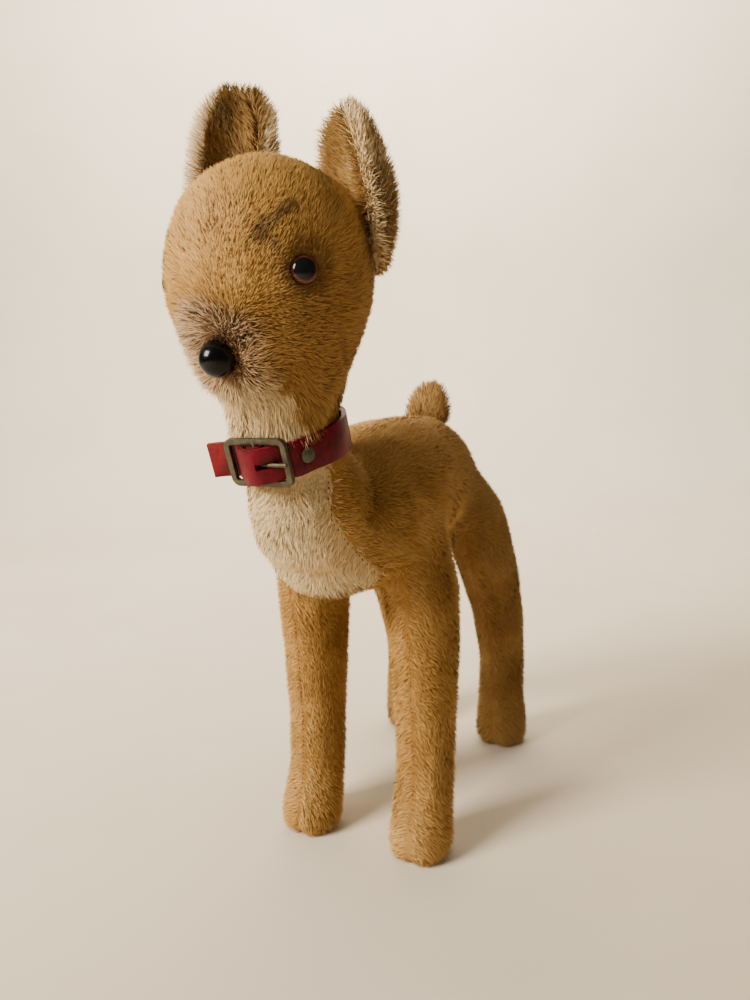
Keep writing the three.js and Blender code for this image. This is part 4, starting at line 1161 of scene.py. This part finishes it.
@dataclass
class StuffedHead:
    """Head and upper neck: a round firm skin with short pile, a bristly muzzle and airbrushed eyes."""

    marks: Landmarks
    inset: float = 0.8 * MM
    pile_length: float = 2.6 * MM
    muzzle_length: float = 5.2 * MM
    throat_length: float = 7.5 * MM
    strap_half: float = 5.6 * MM
    eye_radius: float = 3.9 * MM
    overhang: float = 0.78
    surround_strength: float = 0.75
    smudge_strength: float = 0.85
    density: float = 4.4e6
    panels: tuple[str, ...] = ("head_side_left", "head_side_right", "head_gusset", "chin_and_throat")
    core: tuple[str, ...] = ("head_stuffing", "neck_disc_upper")
    swirl: Ripple = field(default_factory=lambda: Ripple(17, 12 * MM, 40 * MM))
    rubbed: Ripple = field(default_factory=lambda: Ripple(18, 9 * MM, 40 * MM))
    smudges: dict[Side, list[tuple[Array, Array, float]]] = field(default_factory=dict)

    def is_chin(self, roots: Roots) -> Array:
        """Returns where the cream chin and throat panel is."""
        return roots.panel == self.panels.index("chin_and_throat")

    def from_nose(self, points: Array) -> Array:
        """Returns distances from the nose's middle."""
        return np.linalg.norm(points - self.marks.nose, axis=1)

    def throat(self, points: Array) -> Array:
        """Returns 1 on the throat just above the collar and 0 on the head."""
        return fade_out(10 * MM, 24 * MM, self.marks.along_neck(points))

    def lay(self, roots: Roots) -> Array:
        """Lays the pile back from the nose, over the crown, and down the throat."""
        lay = unit(roots.place - (self.marks.nose + np.array([0.0, -4.0, -2.0]) * MM))
        throat = self.throat(roots.place)[:, None]
        lay = lay * (1.0 - throat) + np.array([0.0, -0.15, -1.0]) * throat * 1.3
        return lay + self.swirl.vector(roots.place) * 0.7

    def length(self, roots: Roots) -> Array:
        """Returns longer pile on the muzzle and the throat and shorter pile round the eyes and the nose."""
        p, marks = roots.place, self.marks
        muzzle = fade_out(11 * MM, 20 * MM, self.from_nose(p))
        length = self.pile_length + (self.muzzle_length - self.pile_length) * muzzle
        front = self.throat(p) * smooth_step(0.0, 8 * MM, marks.neck[1] - 4 * MM - p[:, 1])
        length = length + (self.throat_length - length) * front
        beside = np.min([np.linalg.norm(p - e, axis=1) for e in marks.eyes.values()], axis=0)
        length *= 0.42 + 0.58 * smooth_step(3.6 * MM, 8.0 * MM, beside)
        length *= 0.55 + 0.45 * smooth_step(marks.nose_radius, marks.nose_radius + 5 * MM, self.from_nose(p))
        nape = fade_out(self.strap_half, self.strap_half + 7 * MM, marks.along_neck(p))
        return length * (1.0 - 0.6 * ((1.0 - front) * nape))

    def lean(self, roots: Roots) -> Array:
        """Returns how far fibres lean from the skin's normal."""
        throat = self.throat(roots.place)
        muzzle = fade_out(8 * MM, 20 * MM, self.from_nose(roots.place))
        lean = 0.66 + self.rubbed.value(roots.place) * 0.16 + throat * 0.3 - muzzle * 0.12
        ahead = smooth_step(2 * MM, 9 * MM, self.marks.neck[1] - roots.place[:, 1])
        edge = fade_out(9 * MM, 15 * MM, self.marks.along_neck(roots.place))
        return lean + (self.overhang - lean) * ahead * edge

    def growth(self, points: Array) -> Array:
        """Returns no pile under the collar, the eyes and the nose."""
        bare = self.marks.along_neck(points) < self.strap_half
        bare |= self.from_nose(points) < self.marks.nose_radius * 0.96
        for eye in self.marks.eyes.values():
            bare |= np.linalg.norm(points - eye, axis=1) < self.eye_radius * 0.92
        return np.where(bare, 0.0, 1.0)

    def place_smudges(self, tree: BVHTree) -> None:
        """Puts the airbrushed marks beside and above each eye onto the skin.

        Args:
            tree: Search tree of the head's skin.
        """
        for side in Side:
            eye, look = self.marks.eyes[side], self.marks.eye_facing[side]
            inward = unit(np.array([[look[1] * side.value, -look[0] * side.value, 0.0]]))[0]
            found = []
            for start, end, wide in SMUDGE_LINES:
                ends = []
                for across, up in (start, end):
                    guess = eye + (inward * across + np.array([0.0, 0.0, up])) * MM
                    ends.append(np.array(tree.find_nearest(Vector(guess))[0]))
                found.append((ends[0], ends[1], wide * MM))
            self.smudges[side] = found

    def smoke(self, points: Array) -> Array:
        """Returns the airbrushed dark of the eyes' surrounds and the marks above them."""
        smoke = np.zeros(len(points))
        rough = self.rubbed.value(points * 2.3)
        for side in Side:
            gap = np.linalg.norm((points - self.marks.eyes[side]) * np.array([1.0, 1.0, 1.1]), axis=1)
            surround = fade_out(4.0 * MM, 12.5 * MM, gap + rough * 1.6 * MM)
            smoke = np.maximum(smoke, self.surround_strength * surround)
            for start, end, wide in self.smudges.get(side, []):
                gap = capsule_distance(points, start, end) + rough * 1.3 * MM
                smoke = np.maximum(smoke, self.smudge_strength * fade_out(wide * 0.3, wide * 2.2, gap))
        return smoke

    def zones(self, roots: Roots, rng: np.random.Generator) -> Array:
        """Returns the cream of the chin, the pinkish grey of the muzzle, the dark of the airbrushing and
        painted shade over the lower head.
        """
        p = roots.place
        zones = np.zeros((len(p), 3))
        zones[:, 0] = self.is_chin(roots)
        gap = self.from_nose(p) + self.rubbed.value(p) * 2.0 * MM
        zones[:, 2] = fade_out(10.5 * MM, 19.0 * MM, gap) * np.where(zones[:, 0] > 0.5, 0.45, 0.95)
        below = smooth_step(4.5 * MM, 7.5 * MM, self.marks.nose[2] - p[:, 2])
        lip = fade_out(14 * MM, 19 * MM, gap) * below
        zones[:, 0] = np.maximum(zones[:, 0], lip * 0.85)
        zones[:, 2] *= 1.0 - 0.6 * lip
        # Painted shade: the pile darkens towards the lower head and stays light on the crown.
        along = self.marks.along_neck(p) + self.rubbed.value(p) * 6 * MM
        lower_head_shade = 0.26 * fade_out(28 * MM, 66 * MM, along)
        smoke = self.smoke(p) * rng.uniform(0.45, 1.0, len(p))
        smoke = np.maximum(smoke, lower_head_shade * (1.0 - zones[:, 0]) * (1.0 - zones[:, 2]))
        above = smooth_step(1.0 * MM, 5.0 * MM, p[:, 2] - self.marks.nose[2])
        bristles = 0.2 * above * fade_out(9 * MM, 14 * MM, gap)
        chance = 0.05 * fade_out(14 * MM, 22 * MM, gap) + bristles
        zones[:, 1] = np.where(rng.random(len(p)) < chance, 0.9, smoke)
        return zones

    def worn(self, roots: Roots) -> Array:
        """Returns rubbed paler patches and pile a little paler towards the crown."""
        crown = smooth_step(20 * MM, 60 * MM, self.marks.along_neck(roots.place))
        return np.clip(0.3 * smooth_step(0.2, 1.1, self.rubbed.value(roots.place)) + 0.08 * crown, 0.0, 0.5)

    def skin(self) -> Skin:
        """Returns how the head's skin is drawn."""
        def shy(points: Array) -> Array:
            """Draws the skin in less beside the eyes and the nose and on the neck."""
            beside = np.min([np.linalg.norm(points - e, axis=1) for e in self.marks.eyes.values()], axis=0)
            share = 0.45 + 0.55 * smooth_step(5 * MM, 12 * MM, beside)
            share *= 0.5 + 0.5 * smooth_step(7 * MM, 13 * MM, self.from_nose(points))
            return np.where(self.marks.along_neck(points) < 9 * MM, 0.5, share)

        return Skin("head_skin", self.panels, self.core, self.inset, voxel=1.4 * MM, rounds=18, shy=shy)

    def coat(self) -> Coat:
        """Returns how the head's pile grows."""
        return Coat(self.lay, self.length, self.lean, self.growth, self.zones, self.worn)


@dataclass
class Ear:
    """An upright cupped ear: a golden lining in front, a cream back behind and pile that fringes its rim."""

    marks: Landmarks
    side: Side
    # Spots high on the lining are sooty airbrushing and spots low on it are painted shade; the lining's
    # strength is painted shade all over it.
    soot: tuple[tuple[float, float, float], ...]
    lining_soot: float
    inset: float = 0.3 * MM
    pile_length: float = 4.4 * MM
    density: float = 4.4e6

    def __post_init__(self) -> None:
        """Reads the ear's root and tip from the frame."""
        low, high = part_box(f"ear_{self.side.word}_back")
        self.low, self.high = np.array(low), np.array(high)
        self.middle = (self.low + self.high) / 2.0
        self.rubbed = Ripple(30 + self.side.value, 7 * MM, 25 * MM)

    @property
    def panels(self) -> tuple[str, str]:
        """Returns the frame's nodes of this ear."""
        return (f"ear_{self.side.word}_lining", f"ear_{self.side.word}_back")

    def height(self, points: Array) -> Array:
        """Returns 0 at the ear's root and 1 at its tip."""
        return (points[:, 2] - self.low[2]) / (self.high[2] - self.low[2])

    def lay(self, roots: Roots) -> Array:
        """Lays the pile up the ear and outwards to its rim."""
        out = roots.place - self.middle
        out[:, 2] *= 0.45
        rim = fade_out(1.0 * MM, 7.0 * MM, roots.seam)[:, None]
        return unit(out) * (0.9 + rim) + np.array([0.0, 0.0, 0.35]) + self.rubbed.vector(roots.place) * 0.35

    def length(self, roots: Roots) -> Array:
        """Returns slightly longer pile at the rim."""
        rim = fade_out(0.5 * MM, 5.0 * MM, roots.seam)
        root = smooth_step(-0.02, 0.14, self.height(roots.place))
        return self.pile_length * (1.0 + 0.12 * rim) * (0.5 + 0.5 * root)

    def lean(self, roots: Roots) -> Array:
        """Returns how far fibres lean from the skin's normal."""
        return 0.58 + self.rubbed.value(roots.place) * 0.16

    def zones(self, roots: Roots, rng: np.random.Generator) -> Array:
        """Returns a cream back and rim, a golden lining darkened all over by painted shade, sooty airbrushing
        near the tip and spots of painted shade lower down.
        """
        zones = np.zeros((len(roots.place), 3))
        back = roots.panel == 1
        outer = (roots.place[:, 0] - self.middle[0]) * self.side.value > 0.0
        rim = outer & (rng.random(len(back)) < 0.85 * fade_out(1.2 * MM, 3.0 * MM, roots.seam))
        zones[:, 0] = np.where(back | rim, 1.0, 0.0)
        # Painted shade darkens the whole lining.
        zones[:, 1] = np.where(back, 0.0, self.lining_soot)
        up = self.height(roots.place)
        across = (roots.place[:, 0] - self.middle[0]) / (self.high[0] - self.low[0])
        # Spots high on the lining are sooty airbrushing; spots low on it are painted shade.
        for where_up, where_across, strength in self.soot:
            gap = np.hypot((up - where_up) * 2.2, across - where_across)
            gap = gap + self.rubbed.value(roots.place) * 0.06
            mark = strength * fade_out(0.06, 0.3, gap)
            zones[:, 1] = np.maximum(zones[:, 1], mark * (~(back | rim)) * rng.uniform(0.6, 1.0, len(back)))
        return zones

    def worn(self, roots: Roots) -> Array:
        """Returns paler pile near the rim."""
        rim = fade_out(0.5 * MM, 5.0 * MM, roots.seam)
        patch = smooth_step(0.2, 1.1, self.rubbed.value(roots.place))
        return np.clip(0.2 * rim + 0.12 * patch, 0.0, 0.5)

    def skin(self) -> Skin:
        """Returns how the ear's skin is drawn."""
        name = f"ear_{self.side.word}_skin"
        return Skin(name, self.panels, (), self.inset, voxel=0.9 * MM, swell=0.45 * MM, rounds=8)

    def coat(self) -> Coat:
        """Returns how the ear's pile grows."""
        return Coat(self.lay, self.length, self.lean, grow_everywhere, self.zones, self.worn)


@dataclass
class Tail:
    """A short flat tuft that stands upright on the end of the back."""

    inset: float = 1.0 * MM
    pile_length: float = 4.6 * MM
    # Strength of the painted shade that darkens the whole tail.
    dullness: float = 0.26
    density: float = 3.4e6
    rubbed: Ripple = field(default_factory=lambda: Ripple(41, 8 * MM, 30 * MM))

    def lay(self, roots: Roots) -> Array:
        """Lays the pile up the tail."""
        return np.array([0.0, 0.15, 1.0]) + self.rubbed.vector(roots.place) * 0.8

    def length(self, roots: Roots) -> Array:
        """Returns pile of one length."""
        return np.full(len(roots.place), self.pile_length)

    def lean(self, roots: Roots) -> Array:
        """Returns how far fibres lean from the skin's normal."""
        return 0.68 + self.rubbed.value(roots.place) * 0.15

    def zones(self, roots: Roots, _rng: np.random.Generator) -> Array:
        """Returns plain gold darkened a little all over by painted shade."""
        zones = np.zeros((len(roots.place), 3))
        # Painted shade darkens the whole tail.
        zones[:, 1] = self.dullness
        return zones

    def worn(self, roots: Roots) -> Array:
        """Returns rubbed paler patches."""
        return np.clip(0.35 * smooth_step(0.1, 1.0, self.rubbed.value(roots.place)), 0.0, 0.5)

    def coat(self) -> Coat:
        """Returns how the tail's pile grows."""
        return Coat(self.lay, self.length, self.lean, grow_everywhere, self.zones, self.worn)

    def skin(self) -> Skin:
        """Returns how the tail's skin is drawn."""
        return Skin("tail_skin", ("tail",), (), self.inset, voxel=1.2 * MM, rounds=10)


@dataclass
class Upholsterer:
    """Sews every skin, grows its pile panel by panel and hides the frame nodes that each skin stands for."""

    frame: dict
    effects: Effects

    def __post_init__(self) -> None:
        """Makes the materials of pile and backing."""
        self.gold = GOLDEN_PILE.material(self.effects)
        self.cream = CREAM_PILE.material(self.effects)
        self.backing = BACKING.material(self.effects)

    def cover(
        self,
        part: StuffedBody | StuffedHead | Ear | Tail,
        body: str,
        seed: int,
        cream_panels: Sequence[str] = (),
        fill: Optional[float] = None,
    ) -> bpy.types.Object:
        """Covers one part with skin and pile.

        Args:
            part: The sub-assembly that is covered.
            body: The frame's body that it rides on.
            seed: Seed of its chance values.
            cream_panels: Panels that are cut from cream mohair.
            fill: How firmly it is stuffed, or None for a part without stuffing; not used.

        Returns:
            The skin's object.
        """
        skin = part.skin()
        obj, patch = skin.build(self.frame["nodes"])
        if isinstance(part, StuffedHead):
            part.place_smudges(BVHTree.FromPolygons(patch.points.tolist(), patch.triangles.tolist()))
        coat = part.coat()
        everywhere = Roots(patch.points, patch.normals, patch.panel, patch.seam, patch.away)
        zones = coat.zones(everywhere, np.random.default_rng(seed))
        dress_skin(obj, zones, self.backing)
        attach(obj, body)
        stands_for = [*skin.cover, *[n for n in skin.core if n.endswith("stuffing")]]
        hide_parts(*stands_for)
        LOG.info("%s: %d faces for %s", obj.name, len(obj.data.polygons), ", ".join(stands_for))
        pile = Pile(coat, part.density * (1.0), seed)
        roots = pile.scatter(patch)
        for k, panel in enumerate(skin.cover):
            chosen = select(roots, np.flatnonzero(roots.panel == k))
            self._grow_panel(pile, chosen, panel, body, panel in cream_panels, seed * 100 + k)
        return obj

    def _grow_panel(self, pile: Pile, roots: Roots, panel: str, body: str, cream: bool, seed: int) -> None:
        """Grows the pile of one panel."""
        piece = pile.grow(roots, f"{panel}_pile", np.random.default_rng(seed))
        piece.data.materials.append(self.cream if cream else self.gold)
        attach(piece, body)
        LOG.info("%s: %d fibres", piece.name, len(roots.place))


def lathe(
    name: str, profile: Sequence[tuple[float, float]], centre: Array, axis: Array, steps: int = 48
) -> bpy.types.Object:
    """Turns a profile about an axis into a closed smooth form.

    Args:
        name: Name of the new object.
        profile: Pairs of radius and height along the axis, from one pole to the other.
        centre: Where height zero is.
        axis: Direction of the axis.
        steps: Number of steps round the axis.

    Returns:
        The new object.
    """
    work = bmesh.new()
    turn = Vector(axis).to_track_quat("Z", "Y").to_matrix()
    middle = Vector(centre)
    rings = []
    for radius, height in profile:
        if radius < 1e-7:
            rings.append([work.verts.new(middle + turn @ Vector((0.0, 0.0, height)))])
            continue
        angles = [2.0 * math.pi * k / steps for k in range(steps)]
        ring = [turn @ Vector((radius * math.cos(a), radius * math.sin(a), height)) for a in angles]
        rings.append([work.verts.new(middle + place) for place in ring])
    for low, high in zip(rings, rings[1:]):
        for k in range(steps):
            following = (k + 1) % steps
            if len(low) == 1:
                work.faces.new((low[0], high[following], high[k]))
            elif len(high) == 1:
                work.faces.new((low[k], low[following], high[0]))
            else:
                work.faces.new((low[k], low[following], high[following], high[k]))
    bmesh.ops.recalc_face_normals(work, faces=work.faces)
    mesh = bpy.data.meshes.new(name)
    work.to_mesh(mesh)
    work.free()
    shade_smooth(mesh, math.radians(50))
    return new_object(name, mesh)


@dataclass
class Face:
    """The glass eyes and the ball nose, each on a wire shank."""

    marks: Landmarks
    effects: Effects
    eye_radius: float = 3.9 * MM
    pupil_radius: float = 3.0 * MM
    eye_dome: float = 2.5 * MM
    shank_radius: float = 0.8 * MM
    eye_shank: float = 9.0 * MM
    nose_shank: float = 13.5 * MM

    def eye(self, side: Side) -> bpy.types.Object:
        """Builds one domed eye with its rim and its shank.

        Args:
            side: Which eye.

        Returns:
            The eye's object.
        """
        r, dome, shank = self.eye_radius, self.eye_dome, self.shank_radius
        profile = [(0.0, -self.eye_shank), (shank, -self.eye_shank), (shank, -dome * 0.8)]
        profile += [(r * 0.7, -dome * 0.72), (r * 0.95, -dome * 0.35)]
        arc = [math.pi / 2.0 * k / 14.0 for k in range(14)]
        profile += [(r * math.cos(a), dome * math.sin(a)) for a in arc]
        profile += [(0.0, dome)]
        centre, look = self.marks.eyes[side], self.marks.eye_facing[side]
        obj = lathe(f"glass_eye_{side.word}", profile, centre, look)
        obj.data.materials.append(EyeFinish().material(Vector(centre), Vector(look), self.pupil_radius, r))
        return obj

    def nose(self) -> bpy.types.Object:
        """Builds the ball nose, slightly flattened at its back, with its shank."""
        r, shank = self.marks.nose_radius, self.shank_radius
        profile = [(0.0, -self.nose_shank), (shank, -self.nose_shank)]
        profile += [(shank, -r * 0.97), (r * 0.3, -r * 0.93)]
        arc = [math.radians(-66.0 + 156.0 * k / 30.0) for k in range(30)]
        profile += [(r * math.cos(a), r * math.sin(a)) for a in arc]
        profile += [(0.0, r)]
        obj = lathe("ball_nose", profile, self.marks.nose, np.array([0.0, -1.0, 0.0]), 64)
        obj.data.materials.append(NoseFinish().material(self.effects))
        return obj

    def build(self) -> None:
        """Builds the eyes and the nose and puts them on the head."""
        for side in Side:
            eye = self.eye(side)
            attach(eye, "head")
            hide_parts(f"eye_{side.word}")
            LOG.info("%s: domed glass", eye.name)
        nose = self.nose()
        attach(nose, "head")
        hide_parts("nose")
        LOG.info("%s: black ball", nose.name)


@dataclass
class Seams:
    """Thread that shows where the pile parts: down the front of the legs and beside the bib."""

    marks: Landmarks
    pitch: float = 1.7 * MM
    bead: float = 0.33 * MM
    lift: float = 0.9 * MM
    leg_from: float = 14.0 * MM
    leg_to: float = 92.0 * MM

    def runs(self) -> list[list[tuple[float, float]]]:
        """Returns the seams as lists of places across and up, seen from the front."""
        low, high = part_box("belly_gusset")
        bib_low, bib_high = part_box("chest_bib")
        count = int((self.leg_to - self.leg_from) / self.pitch)
        heights = [self.leg_from + self.pitch * k for k in range(count)]
        runs = [[(x, z) for z in heights] for x in (low.x, high.x)]
        bend = bib_low.z + (bib_high.z - bib_low.z) * 0.55
        for side in Side:
            foot = bib_high.x if side is Side.LEFT else bib_low.x
            top = self.marks.middle_x + (foot - self.marks.middle_x) * 0.72
            steps = int((bib_high.z - bib_low.z - 22 * MM) / self.pitch)
            run = []
            for k in range(steps):
                z = bib_low.z + 12 * MM + self.pitch * k
                share = min(max((z - bib_low.z - 8 * MM) / (bend - bib_low.z - 8 * MM), 0.0), 1.0)
                run.append((foot + (top - foot) * share, z))
            runs.append(run)
        return runs

    def build(self, skin: bpy.types.Object, effects: Effects) -> None:
        """Sews the thread onto the body.

        Args:
            skin: The body's skin.
            effects: The shared effects.
        """
        mesh = skin.data
        tree = BVHTree.FromPolygons([v.co for v in mesh.vertices], [p.vertices for p in mesh.polygons])
        rng = np.random.default_rng(5)
        work = bmesh.new()
        for run in self.runs():
            for x, z in run:
                if rng.random() < 0.18:
                    continue
                start = Vector((x + rng.normal(0.0, 0.12 * MM), -0.5, z))
                place, normal, _, _ = tree.ray_cast(start, Vector((0.0, 1.0, 0.0)))
                if place is None:
                    continue
                size = self.bead * rng.uniform(0.7, 1.15)
                spot = place + normal * self.lift
                made = bmesh.ops.create_icosphere(work, subdivisions=1, radius=size)
                bmesh.ops.scale(work, vec=(0.75, 0.8, 1.35), verts=made["verts"])
                bmesh.ops.translate(work, vec=spot, verts=made["verts"])
        data = bpy.data.meshes.new("seam_stitches")
        work.to_mesh(data)
        work.free()
        shade_smooth(data)
        obj = new_object("seam_stitches", data)
        obj.data.materials.append(THREAD.material(effects))
        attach(obj, "body")
        LOG.info("%s: %d faces of thread", obj.name, len(data.polygons))


@dataclass
class Collar:
    """A smooth leather strap with its rolled end, a centre-bar buckle, a prong and a rivet."""

    effects: Effects
    wear_reach: float = 9.0 * MM
    strap_round: float = 0.28 * MM
    metal_round: float = 0.4 * MM
    prong_round: float = 0.12 * MM
    rivet_round: float = 0.1 * MM
    end_depth: float = 1.5 * MM

    def rounded(self, name: str, node: str, width: float, steps: int, angle: float) -> bpy.types.Object:
        """Copies a frame node as a finer piece with rounded edges.

        Args:
            name: Name of the new piece.
            node: The frame node that it stands for.
            width: Width of the rounding.
            steps: Steps of the rounding.
            angle: Smallest edge angle in degrees that is rounded.

        Returns:
            The new piece.
        """
        obj = copy_of_nodes(name, [bpy.data.objects[node]])
        work = bmesh.new()
        work.from_mesh(obj.data)
        bmesh.ops.dissolve_limit(work, angle_limit=math.radians(1.0), verts=work.verts, edges=work.edges)
        work.to_mesh(obj.data)
        work.free()
        bevel = obj.modifiers.new("round", "BEVEL")
        bevel.width, bevel.segments = width, steps
        bevel.limit_method, bevel.angle_limit = "ANGLE", math.radians(angle)
        settle(obj)
        shade_smooth(obj.data, math.radians(40))
        return obj

    def build(self) -> None:
        """Builds and dresses the four pieces of the collar."""
        _, frame_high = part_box("buckle_frame")
        strap = positions(bpy.data.objects["collar_strap"].data)
        front = strap[strap[:, 1] < frame_high.y]
        cut_end = Vector(front[front[:, 0] < front[:, 0].min() + self.end_depth].mean(axis=0))
        leather = LEATHER.material(self.effects, cut_end, self.wear_reach)
        frame, prong, rivet = (f.material(self.effects) for f in (BRONZE, PRONG_BRONZE, RIVET_BRONZE))
        bronze = "dark_bronze"
        pieces = [
            ("leather_strap", "collar_strap", self.strap_round, 2, 50.0, "collar", leather, "red_leather"),
            ("bronze_buckle", "buckle_frame", self.metal_round, 3, 40.0, "buckle", frame, bronze),
            ("bronze_prong", "buckle_prong", self.prong_round, 2, 60.0, "prong", prong, bronze),
            ("bronze_rivet", "collar_rivet", self.rivet_round, 2, 40.0, "collar", rivet, bronze),
        ]
        for name, node, width, steps, angle, body, material, slot in pieces:
            obj = self.rounded(name, node, width, steps, angle)
            obj.data.materials.clear()
            obj.data.materials.append(material)
            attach(obj, body)
            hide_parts(node)
            LOG.info("%s: %d faces", name, len(obj.data.polygons))


@dataclass
class Inside:
    """What the skins hide: the armature and the neck's disc joint, shown as the frame's own nodes."""

    frame: dict
    effects: Effects

    def build(self) -> None:
        """Dresses the hidden nodes."""
        steel = STEEL.material(self.effects)
        board = HARDBOARD.material(self.effects)
        wires = ("front_leg_wire", "rear_leg_wire", "neck_cotter_pin", "neck_washer_lower", "neck_washer_upper")
        dressed = dict.fromkeys(wires, steel) | dict.fromkeys(("neck_disc_lower", "neck_disc_upper"), board)
        for name, material in dressed.items():
            node = self.frame["nodes"][name]
            node.data.materials.clear()
            node.data.materials.append(material)
            LOG.info("%s: dressed in %s", name, material.name)


@dataclass(frozen=True)
class Lamp:
    """A square soft lamp: where it hangs and points, its size, its power in watts and its colour."""

    name: str
    place: tuple[float, float, float]
    aim: tuple[float, float, float]
    size: float
    power: float
    colour: tuple[float, float, float]
    mirrored: bool = False


DOG_MIDDLE = (0.0, -0.03, 0.14)
BACKDROP_MIDDLE = (-0.45, 0.85, 0.9)
LAMPS = (
    Lamp("window", (-0.44, -0.7, 0.6), DOG_MIDDLE, 0.36, 21.5, (1.0, 0.93, 0.8), mirrored=True),
    Lamp("bounce", (0.75, -0.45, 0.45), DOG_MIDDLE, 1.0, 1.1, (1.0, 0.86, 0.68)),
    Lamp("wall_glow", (-0.05, 0.2, 1.1), BACKDROP_MIDDLE, 0.7, 46.0, (1.0, 0.95, 0.86)),
)


@dataclass
class Studio:
    """A pale floor that curves up into a backdrop, soft lights and the camera."""

    effects: Effects
    eye_point: tuple[float, float, float] = (0.13433, -0.25875, 0.179)
    azimuth: float = 27.0
    pitch: float = 9.0
    roll: float = 2.06
    lens: float = 27.04
    room_tone: Colour = tone(1.0, 0.88, 0.7)
    room_strength: float = 0.15

    def build(self) -> None:
        """Builds everything round the dog."""
        self._floor()
        self._camera()
        self._lights()

    def _floor(self) -> None:
        """Makes the floor and its curved backdrop."""
        work = bmesh.new()
        back, bend, half_width = 0.55, 0.35, 2.2
        profile = [(-1.6, 0.0), (back, 0.0)]
        turns = np.linspace(0.1, math.pi / 2, 12)
        profile += [(back + bend * math.sin(a), bend - bend * math.cos(a)) for a in turns]
        profile += [(back + bend, 2.4)]
        turn = Matrix.Rotation(math.radians(self.azimuth), 3, "Z")
        sides = (-half_width, half_width)
        rows = [[work.verts.new(turn @ Vector((x, y, z))) for x in sides] for y, z in profile]
        for low, high in zip(rows, rows[1:]):
            work.faces.new((low[0], low[1], high[1], high[0]))
        mesh = bpy.data.meshes.new("floor_sweep")
        work.to_mesh(mesh)
        work.free()
        shade_smooth(mesh)
        floor = new_object("floor_sweep", mesh)
        mesh.materials.append(FLOOR.material(self.effects))

    def _camera(self) -> None:
        """Makes the camera from its place, its directions and its lens."""
        a, e, roll = (math.radians(v) for v in (self.azimuth, self.pitch, self.roll))
        back = Vector((math.sin(a) * math.cos(e), -math.cos(a) * math.cos(e), math.sin(e)))
        right = Vector((math.cos(a), math.sin(a), 0.0))
        up = back.cross(right)
        side = right * math.cos(roll) - up * math.sin(roll)
        top = right * math.sin(roll) + up * math.cos(roll)
        data = bpy.data.cameras.new("camera")
        data.sensor_fit, data.sensor_height, data.lens = "VERTICAL", 36.0, self.lens
        data.clip_start, data.clip_end = 0.01, 20.0
        camera = bpy.data.objects.new("camera", data)
        camera.matrix_world = Matrix((side, top, back)).transposed().to_4x4()
        camera.location = self.eye_point
        bpy.context.scene.collection.objects.link(camera)
        bpy.context.scene.camera = camera

    def _lights(self) -> None:
        """Makes a soft window light, a weak fill, a glow on the backdrop and a pale world."""
        world = bpy.data.worlds.new("soft_room")
        bpy.context.scene.world = world
        world.use_nodes = True
        background = world.node_tree.nodes["Background"]
        background.inputs[0].default_value = self.room_tone
        background.inputs[1].default_value = self.room_strength
        for lamp in LAMPS:
            data = bpy.data.lights.new(lamp.name, "AREA")
            data.shape, data.size = "SQUARE", lamp.size
            data.energy, data.color = lamp.power, lamp.colour
            obj = bpy.data.objects.new(lamp.name, data)
            obj.location = lamp.place
            obj.rotation_euler = (Vector(lamp.aim) - Vector(lamp.place)).to_track_quat("-Z", "Y").to_euler()
            obj.visible_glossy = lamp.mirrored
            bpy.context.scene.collection.objects.link(obj)


# Dark marks on each ear's lining: spots as height, place across and strength, then the strength all over.
# Spots high on the lining are sooty airbrushing and spots low on it are painted shade; the strength all over is
# painted shade.
EAR_SOOT_AND_SHADE = {
    Side.RIGHT: (((0.9, 0.1, 0.8), (0.74, 0.22, 0.55), (0.6, -0.25, 0.5), (0.25, 0.0, 0.4)), 0.44),
    Side.LEFT: (((0.85, -0.3, 0.35), (0.35, -0.1, 0.6)), 0.2),
}


def write_size() -> None:
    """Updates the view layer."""
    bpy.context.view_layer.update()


def main() -> None:
    """Builds the dog round its frame, sub-assembly by sub-assembly."""
    logging.basicConfig(level=logging.INFO, format="%(message)s")
    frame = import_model()
    effects = Effects()
    Studio(effects).build()
    marks = Landmarks.from_frame(frame)
    upholsterer = Upholsterer(frame, effects)
    body_skin = upholsterer.cover(StuffedBody(marks), "body", 1, ("chest_bib",), fill=0.95)
    upholsterer.cover(Tail(), "body", 2, fill=0.6)
    upholsterer.cover(StuffedHead(marks), "head", 3, ("chin_and_throat",), fill=0.97)
    for side in Side:
        ear = Ear(marks, side, *EAR_SOOT_AND_SHADE[side])
        upholsterer.cover(ear, "head", 6 + side.value, (ear.panels[1],))
    Seams(marks).build(body_skin, effects)
    Face(marks, effects).build()
    Collar(effects).build()
    Inside(frame, effects).build()
    write_size()


if __name__ == "__main__":
    main()
